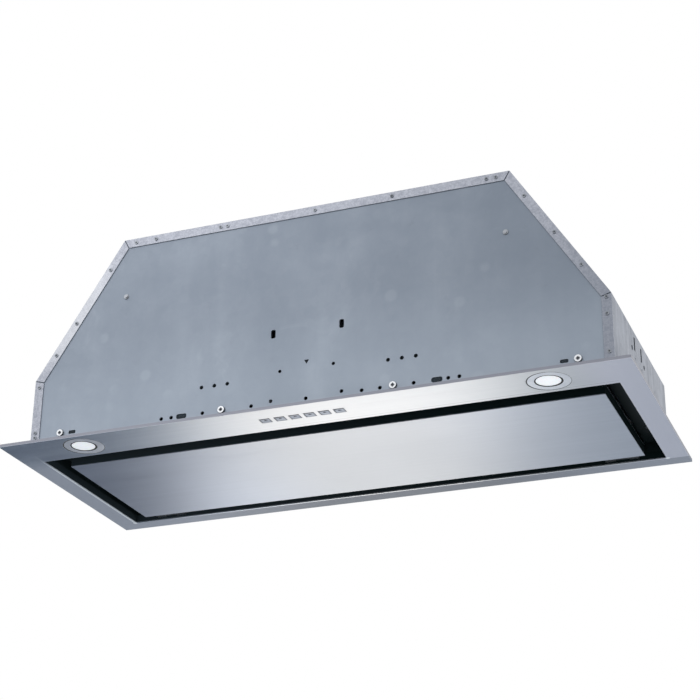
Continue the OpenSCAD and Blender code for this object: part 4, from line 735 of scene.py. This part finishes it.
def edge_shade_ring(centre, around, wide, high):
    """Thin dark ring along a hole, a painted shadow of its edge: its width is a share of the hole's, across
    and upwards.
    """
    form = bmesh.new()
    rows = []
    for share, rise in ((-0.03, -0.05), (1, -0.05), (0.9, 0.04), (0, 0.07)):
        row = []
        for x, _, z in around:
            row.append(form.verts.new((centre.x + (x - centre.x) * (1 + wide * share), centre.y - rise * MM,
                                       centre.z + (z - centre.z) * (1 + high * share))))
        rows.append(row)
    for row, following in zip(rows, rows[1:] + rows[:1]):
        for i in range(len(row)):
            j = (i + 1) % len(row)
            form.faces.new((row[i], row[j], following[j], following[i]))
    bmesh.ops.recalc_face_normals(form, faces=form.faces)
    return form


def hole_edge_shades():
    """Dark rings of painted shadow along the front plate's open holes, tall slots and arrow."""
    heads = [head_of(points)[0] for points in islands("plate_screws")]
    forms = []
    for centre, far, near, around in punched_holes("front_plate", PLATE_FACE):
        under_rivet = far < 1.8 * MM
        under_screw = min((centre.xz - head.xz).length for head in heads) < 5 * MM
        if under_rivet or under_screw:
            continue
        off_slot = max(abs(abs(centre.x) - TALL_SLOT[0]), abs(centre.z - TALL_SLOT[1]))
        if far - near < 0.2 * MM:
            forms.append(edge_shade_ring(centre, around, 0.22, 0.22))
        elif off_slot < 1 * MM:
            forms.append(edge_shade_ring(centre, around, 0.36, 0.05))
        elif len(around) == 3:
            forms.append(edge_shade_ring(centre, around, 0.35, 0.35))
    joined("hole_edge_shades", forms, "housing",
           plastic("hole_edge_shade_look", (0.012, 0.016, 0.02, 1), (0.028, 0.035, 0.042, 1), 0.8, spec=0.05))


def leaf_springs(name, sign):
    """The two bowed leaves behind one filter, copied as they stand; the real leaves flatten against the rail
    as the filter is pushed back.
    """
    form = bmesh.new()
    form.from_mesh(nodes["filter_springs"].data)
    bmesh.ops.delete(form, geom=[v for v in form.verts if v.co.x * sign < 0], context="VERTS")
    bmesh.ops.remove_doubles(form, verts=form.verts, dist=0.001 * MM)
    bmesh.ops.recalc_face_normals(form, faces=form.faces)
    thing = joined(name, [form], "housing", finish["spring_steel"])
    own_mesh(thing)
    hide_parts("filter_springs")


def lamp_seals_and_shadows():
    """Thin dark seals round each lamp's ring and between the ring and its lens, widened and set off centre as
    painted shadow of the gaps.
    """
    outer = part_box("lamp_rings")
    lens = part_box("lamp_lenses")
    lens_r = (lens[1].y - lens[0].y) / 2
    ring_r = (outer[1].y - outer[0].y) / 2
    centre_y = (outer[0].y + outer[1].y) / 2
    centre_x = outer[1].x - ring_r
    forms = []
    for side in (-1, 1):
        for a, b, low, high, drift_x, drift_y in (
                (ring_r - 0.55 * MM, ring_r + 0.45 * MM, 0.05 * MM, 0.19 * MM, 0.5 * MM, 0.35 * MM),
                (lens_r - 1.5 * MM, lens_r + 0.8 * MM, 0.22 * MM, 0.49 * MM, -0.33 * MM, -0.44 * MM)):
            form = closed_ring([(a, high), (a, low + 0.06 * MM), (a + 0.2 * MM, low), (b - 0.2 * MM, low),
                                (b, low + 0.06 * MM), (b, high)], 96)
            for vertex in form.verts:  # the inner edge lies off centre, so a seal is wider on one side, as painted shadow
                if vertex.co.xy.length < (a + b) / 2:
                    vertex.co.x += drift_x
                    vertex.co.y += drift_y
            bmesh.ops.translate(form, verts=form.verts, vec=(side * centre_x, centre_y, 0))
            forms.append(form)
    joined("lamp_seals_and_shadows", forms, "housing", finish["grommet_rubber"], smooth=True)


def block(x0, x1, y0, y1, z0, z1, ease):
    """Small sheet piece with eased edges, in millimetres."""
    form = bmesh.new()
    bmesh.ops.create_cube(form, size=1)
    for vertex in form.verts:
        vertex.co = Vector(((x0 + x1) / 2 + vertex.co.x * (x1 - x0), (y0 + y1) / 2 + vertex.co.y * (y1 - y0),
                            (z0 + z1) / 2 + vertex.co.z * (z1 - z0))) * MM
    bmesh.ops.bevel(form, geom=form.edges[:], offset=ease * MM, segments=2, affect="EDGES")
    return form


def slot_clips():
    """Spring clips in the plate's slots, each a base with a raised tongue."""
    forms = []
    for x, z, w, h in CLIP_SLOTS:
        for side in (-1, 1):
            c = side * x
            forms.append(block(c - w / 2 + 0.5, c + w / 2 - 0.5, -149.45, -149.05,
                               z - h / 2 + 0.3, z + h / 2 - 0.3, 0.1))
            forms.append(block(c - w / 5, c + w / 5, -149.75, -149.46, z - h / 4, z + h / 4, 0.1))
    joined("slot_clips", forms, "housing",
           plastic("slot_clip_look", (0.016, 0.024, 0.031, 1), (0.034, 0.045, 0.056, 1), 0.6, spec=0.2))


def side_trims_and_shades():
    """Dark open edge trims: frames in the side's slots, rings round its fixing holes; their darkness also
    paints the shade inside these openings.
    """
    forms = []
    slot_ys, slot_z = SIDE_SLOTS
    hole_ys, hole_z = SIDE_HOLES
    inside, outside, proud = 409.05, 410.02, 410.2
    bore_w, bore_h = 1.35, 8.1
    for side in (-1, 1):
        for y in slot_ys:
            for near, far, reach in ((inside, outside, 0), (outside, proud, 0.8)):
                x0, x1 = sorted((side * near, side * far))
                w, h = 1.72 + reach, 8.47 + reach
                for y0, y1, z0, z1 in ((y - w, y - bore_w, slot_z - h, slot_z + h),
                                       (y + bore_w, y + w, slot_z - h, slot_z + h),
                                       (y - bore_w, y + bore_w, slot_z - h, slot_z - bore_h),
                                       (y - bore_w, y + bore_w, slot_z + bore_h, slot_z + h)):
                    forms.append(block(x0, x1, y0, y1, z0, z1, 0.04))
        for y in hole_ys:
            form = closed_ring([(2.62 * MM, 0.9 * MM), (3.25 * MM, 0.9 * MM), (3.2 * MM, 1.06 * MM),
                                (2.7 * MM, 1.1 * MM)], 28)
            placed(form, Vector((side * 409.12 * MM, y * MM, hole_z * MM)), Vector((side, 0, 0)))
            forms.append(form)
    joined("side_trims_and_shades", forms, "housing",
           plastic("side_trim_shade_look", (0.008, 0.01, 0.013, 1), (0.022, 0.027, 0.033, 1), 0.85, spec=0.02))


def filler_screws():
    """Low-head screws that hold the side channels, seen in the gap beside the panel."""
    forms = []
    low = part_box("side_fillers")[0].z
    x, ys = FILLER_SCREWS
    for side in (-1, 1):
        for y in ys:
            form = cap([(2.2 * MM, -1.6 * MM), (3.4 * MM, -1.45 * MM), (4.1 * MM, -0.9 * MM),
                        (4.2 * MM, 0.02 * MM)], 28)
            bmesh.ops.translate(form, verts=form.verts, vec=(side * x * MM, y * MM, low))
            forms.append(form)
    joined("filler_screws", forms, "housing",
           plated("filler_screw_look", (0.05, 0.06, 0.065, 1), (0.12, 0.13, 0.14, 1), 0.38, 500))


screw_recess_shades()
rivet_cores()
hole_edge_shades()
leaf_springs("springs_left", -1)
leaf_springs("springs_right", 1)
lamp_seals_and_shadows()
slot_clips()
side_trims_and_shades()
filler_screws()


# Studio

def studio_world():
    """White to the camera and in reflections, soft and cool as a light."""
    world = bpy.data.worlds.new("studio")
    scene.world = world
    world.use_nodes = True
    tree = world.node_tree
    tree.nodes.clear()
    out = tree.nodes.new("ShaderNodeOutputWorld")
    mix = tree.nodes.new("ShaderNodeMixShader")
    soft = tree.nodes.new("ShaderNodeBackground")
    soft.inputs["Color"].default_value = (0.8, 0.9, 1, 1)
    soft.inputs["Strength"].default_value = 0.64
    white = tree.nodes.new("ShaderNodeBackground")
    white.inputs["Color"].default_value = (1, 1, 1, 1)
    white.inputs["Strength"].default_value = 1
    path = tree.nodes.new("ShaderNodeLightPath")
    share = path.outputs["Is Camera Ray"]
    for name in ("Is Glossy Ray", "Is Transmission Ray"):
        most = tree.nodes.new("ShaderNodeMath")
        most.operation = "MAXIMUM"
        tree.links.new(share, most.inputs[0])
        tree.links.new(path.outputs[name], most.inputs[1])
        share = most.outputs[0]
    tree.links.new(share, mix.inputs[0])
    tree.links.new(soft.outputs[0], mix.inputs[1])
    tree.links.new(white.outputs[0], mix.inputs[2])
    tree.links.new(mix.outputs[0], out.inputs["Surface"])


def soft_box(name, place, aim, width, height, watts, colour=(1, 1, 1)):
    """Area lamp aimed at a point."""
    data = bpy.data.lights.new(name, "AREA")
    data.shape = "RECTANGLE"
    data.size = width
    data.size_y = height
    data.energy = watts
    data.color = colour
    lamp = bpy.data.objects.new(name, data)
    scene.collection.objects.link(lamp)
    lamp.location = place
    lamp.rotation_euler = (Vector(aim) - Vector(place)).to_track_quat("-Z", "Y").to_euler()


def sheet_object(name, corners, material):
    """Flat stage piece."""
    mesh = bpy.data.meshes.new(name)
    mesh.from_pydata([tuple(c) for c in corners], [], [tuple(range(len(corners)))])
    mesh.materials.append(material)
    thing = bpy.data.objects.new(name, mesh)
    scene.collection.objects.link(thing)
    return thing


def floor_look():
    """Pale floor: grey to the lamps, near white to the camera with the shadow kept, open from below."""
    look = Look("studio_floor", Roughness=0.75, Emission_Strength=1.0)
    seen = look.add("LightPath").outputs["Is Camera Ray"]
    grey = look.mix(look.ramp(look.noise(2.2, 2), 0.3, 0.7), (0.768, 0.768, 0.768, 1),
                    (0.782, 0.782, 0.782, 1))
    look.set("Base Color", look.mix(seen, grey, (0.98, 0.91, 0.86, 1)))
    look.set("Emission Color", look.mix(seen, (0, 0, 0, 1), (0.27, 0.265, 0.26, 1)))
    look.bump(look.noise(160, 2), 0.05, 0.4 * MM)
    through = look.add("BsdfTransparent")
    both = look.add("MixShader")
    look.join(look.add("NewGeometry").outputs["Backfacing"], both.inputs[0])
    look.join(look.shader.outputs[0], both.inputs[1])
    look.join(through.outputs[0], both.inputs[2])
    look.join(both.outputs[0], look.out.inputs["Surface"])
    return look.material


def card_look():
    """Dark blue card that the left ends of the flange and the panel reflect."""
    look = Look("studio_card", Roughness=0.9)
    look.set("Base Color", look.mix(look.ramp(look.noise(3, 2), 0.3, 0.7), (0.084, 0.105, 0.15, 1),
                                    (0.099, 0.122, 0.174, 1)))
    return look.material


FLOOR_Z = -2.2
FLOOR_HALF = 25
CARD_TOP = 0.6

studio_world()
sheet_object("studio_floor", [(x * FLOOR_HALF, y * FLOOR_HALF, FLOOR_Z)
                              for x, y in ((-1, -1), (1, -1), (1, 1), (-1, 1))], floor_look())
soft_box("soft_band", (-0.93, 2.3, -1.4), (-0.05, 0, 0), 0.9, 1.0, 7.3, (1, 0.945, 0.86))
soft_box("soft_side", (2.8, -0.5, 0.5), (0, 0, 0.1), 1.6, 1.6, 22)
soft_box("soft_top", (-1.6, -1.6, 2.0), (0, 0, 0.2), 2.4, 2.0, 15)
card = sheet_object("studio_card", [(-3.2, 1.5, FLOOR_Z), (-1.52, 2.6, FLOOR_Z),
                                    (-1.52, 2.6, CARD_TOP), (-3.2, 1.5, CARD_TOP)], card_look())
card.visible_camera = False
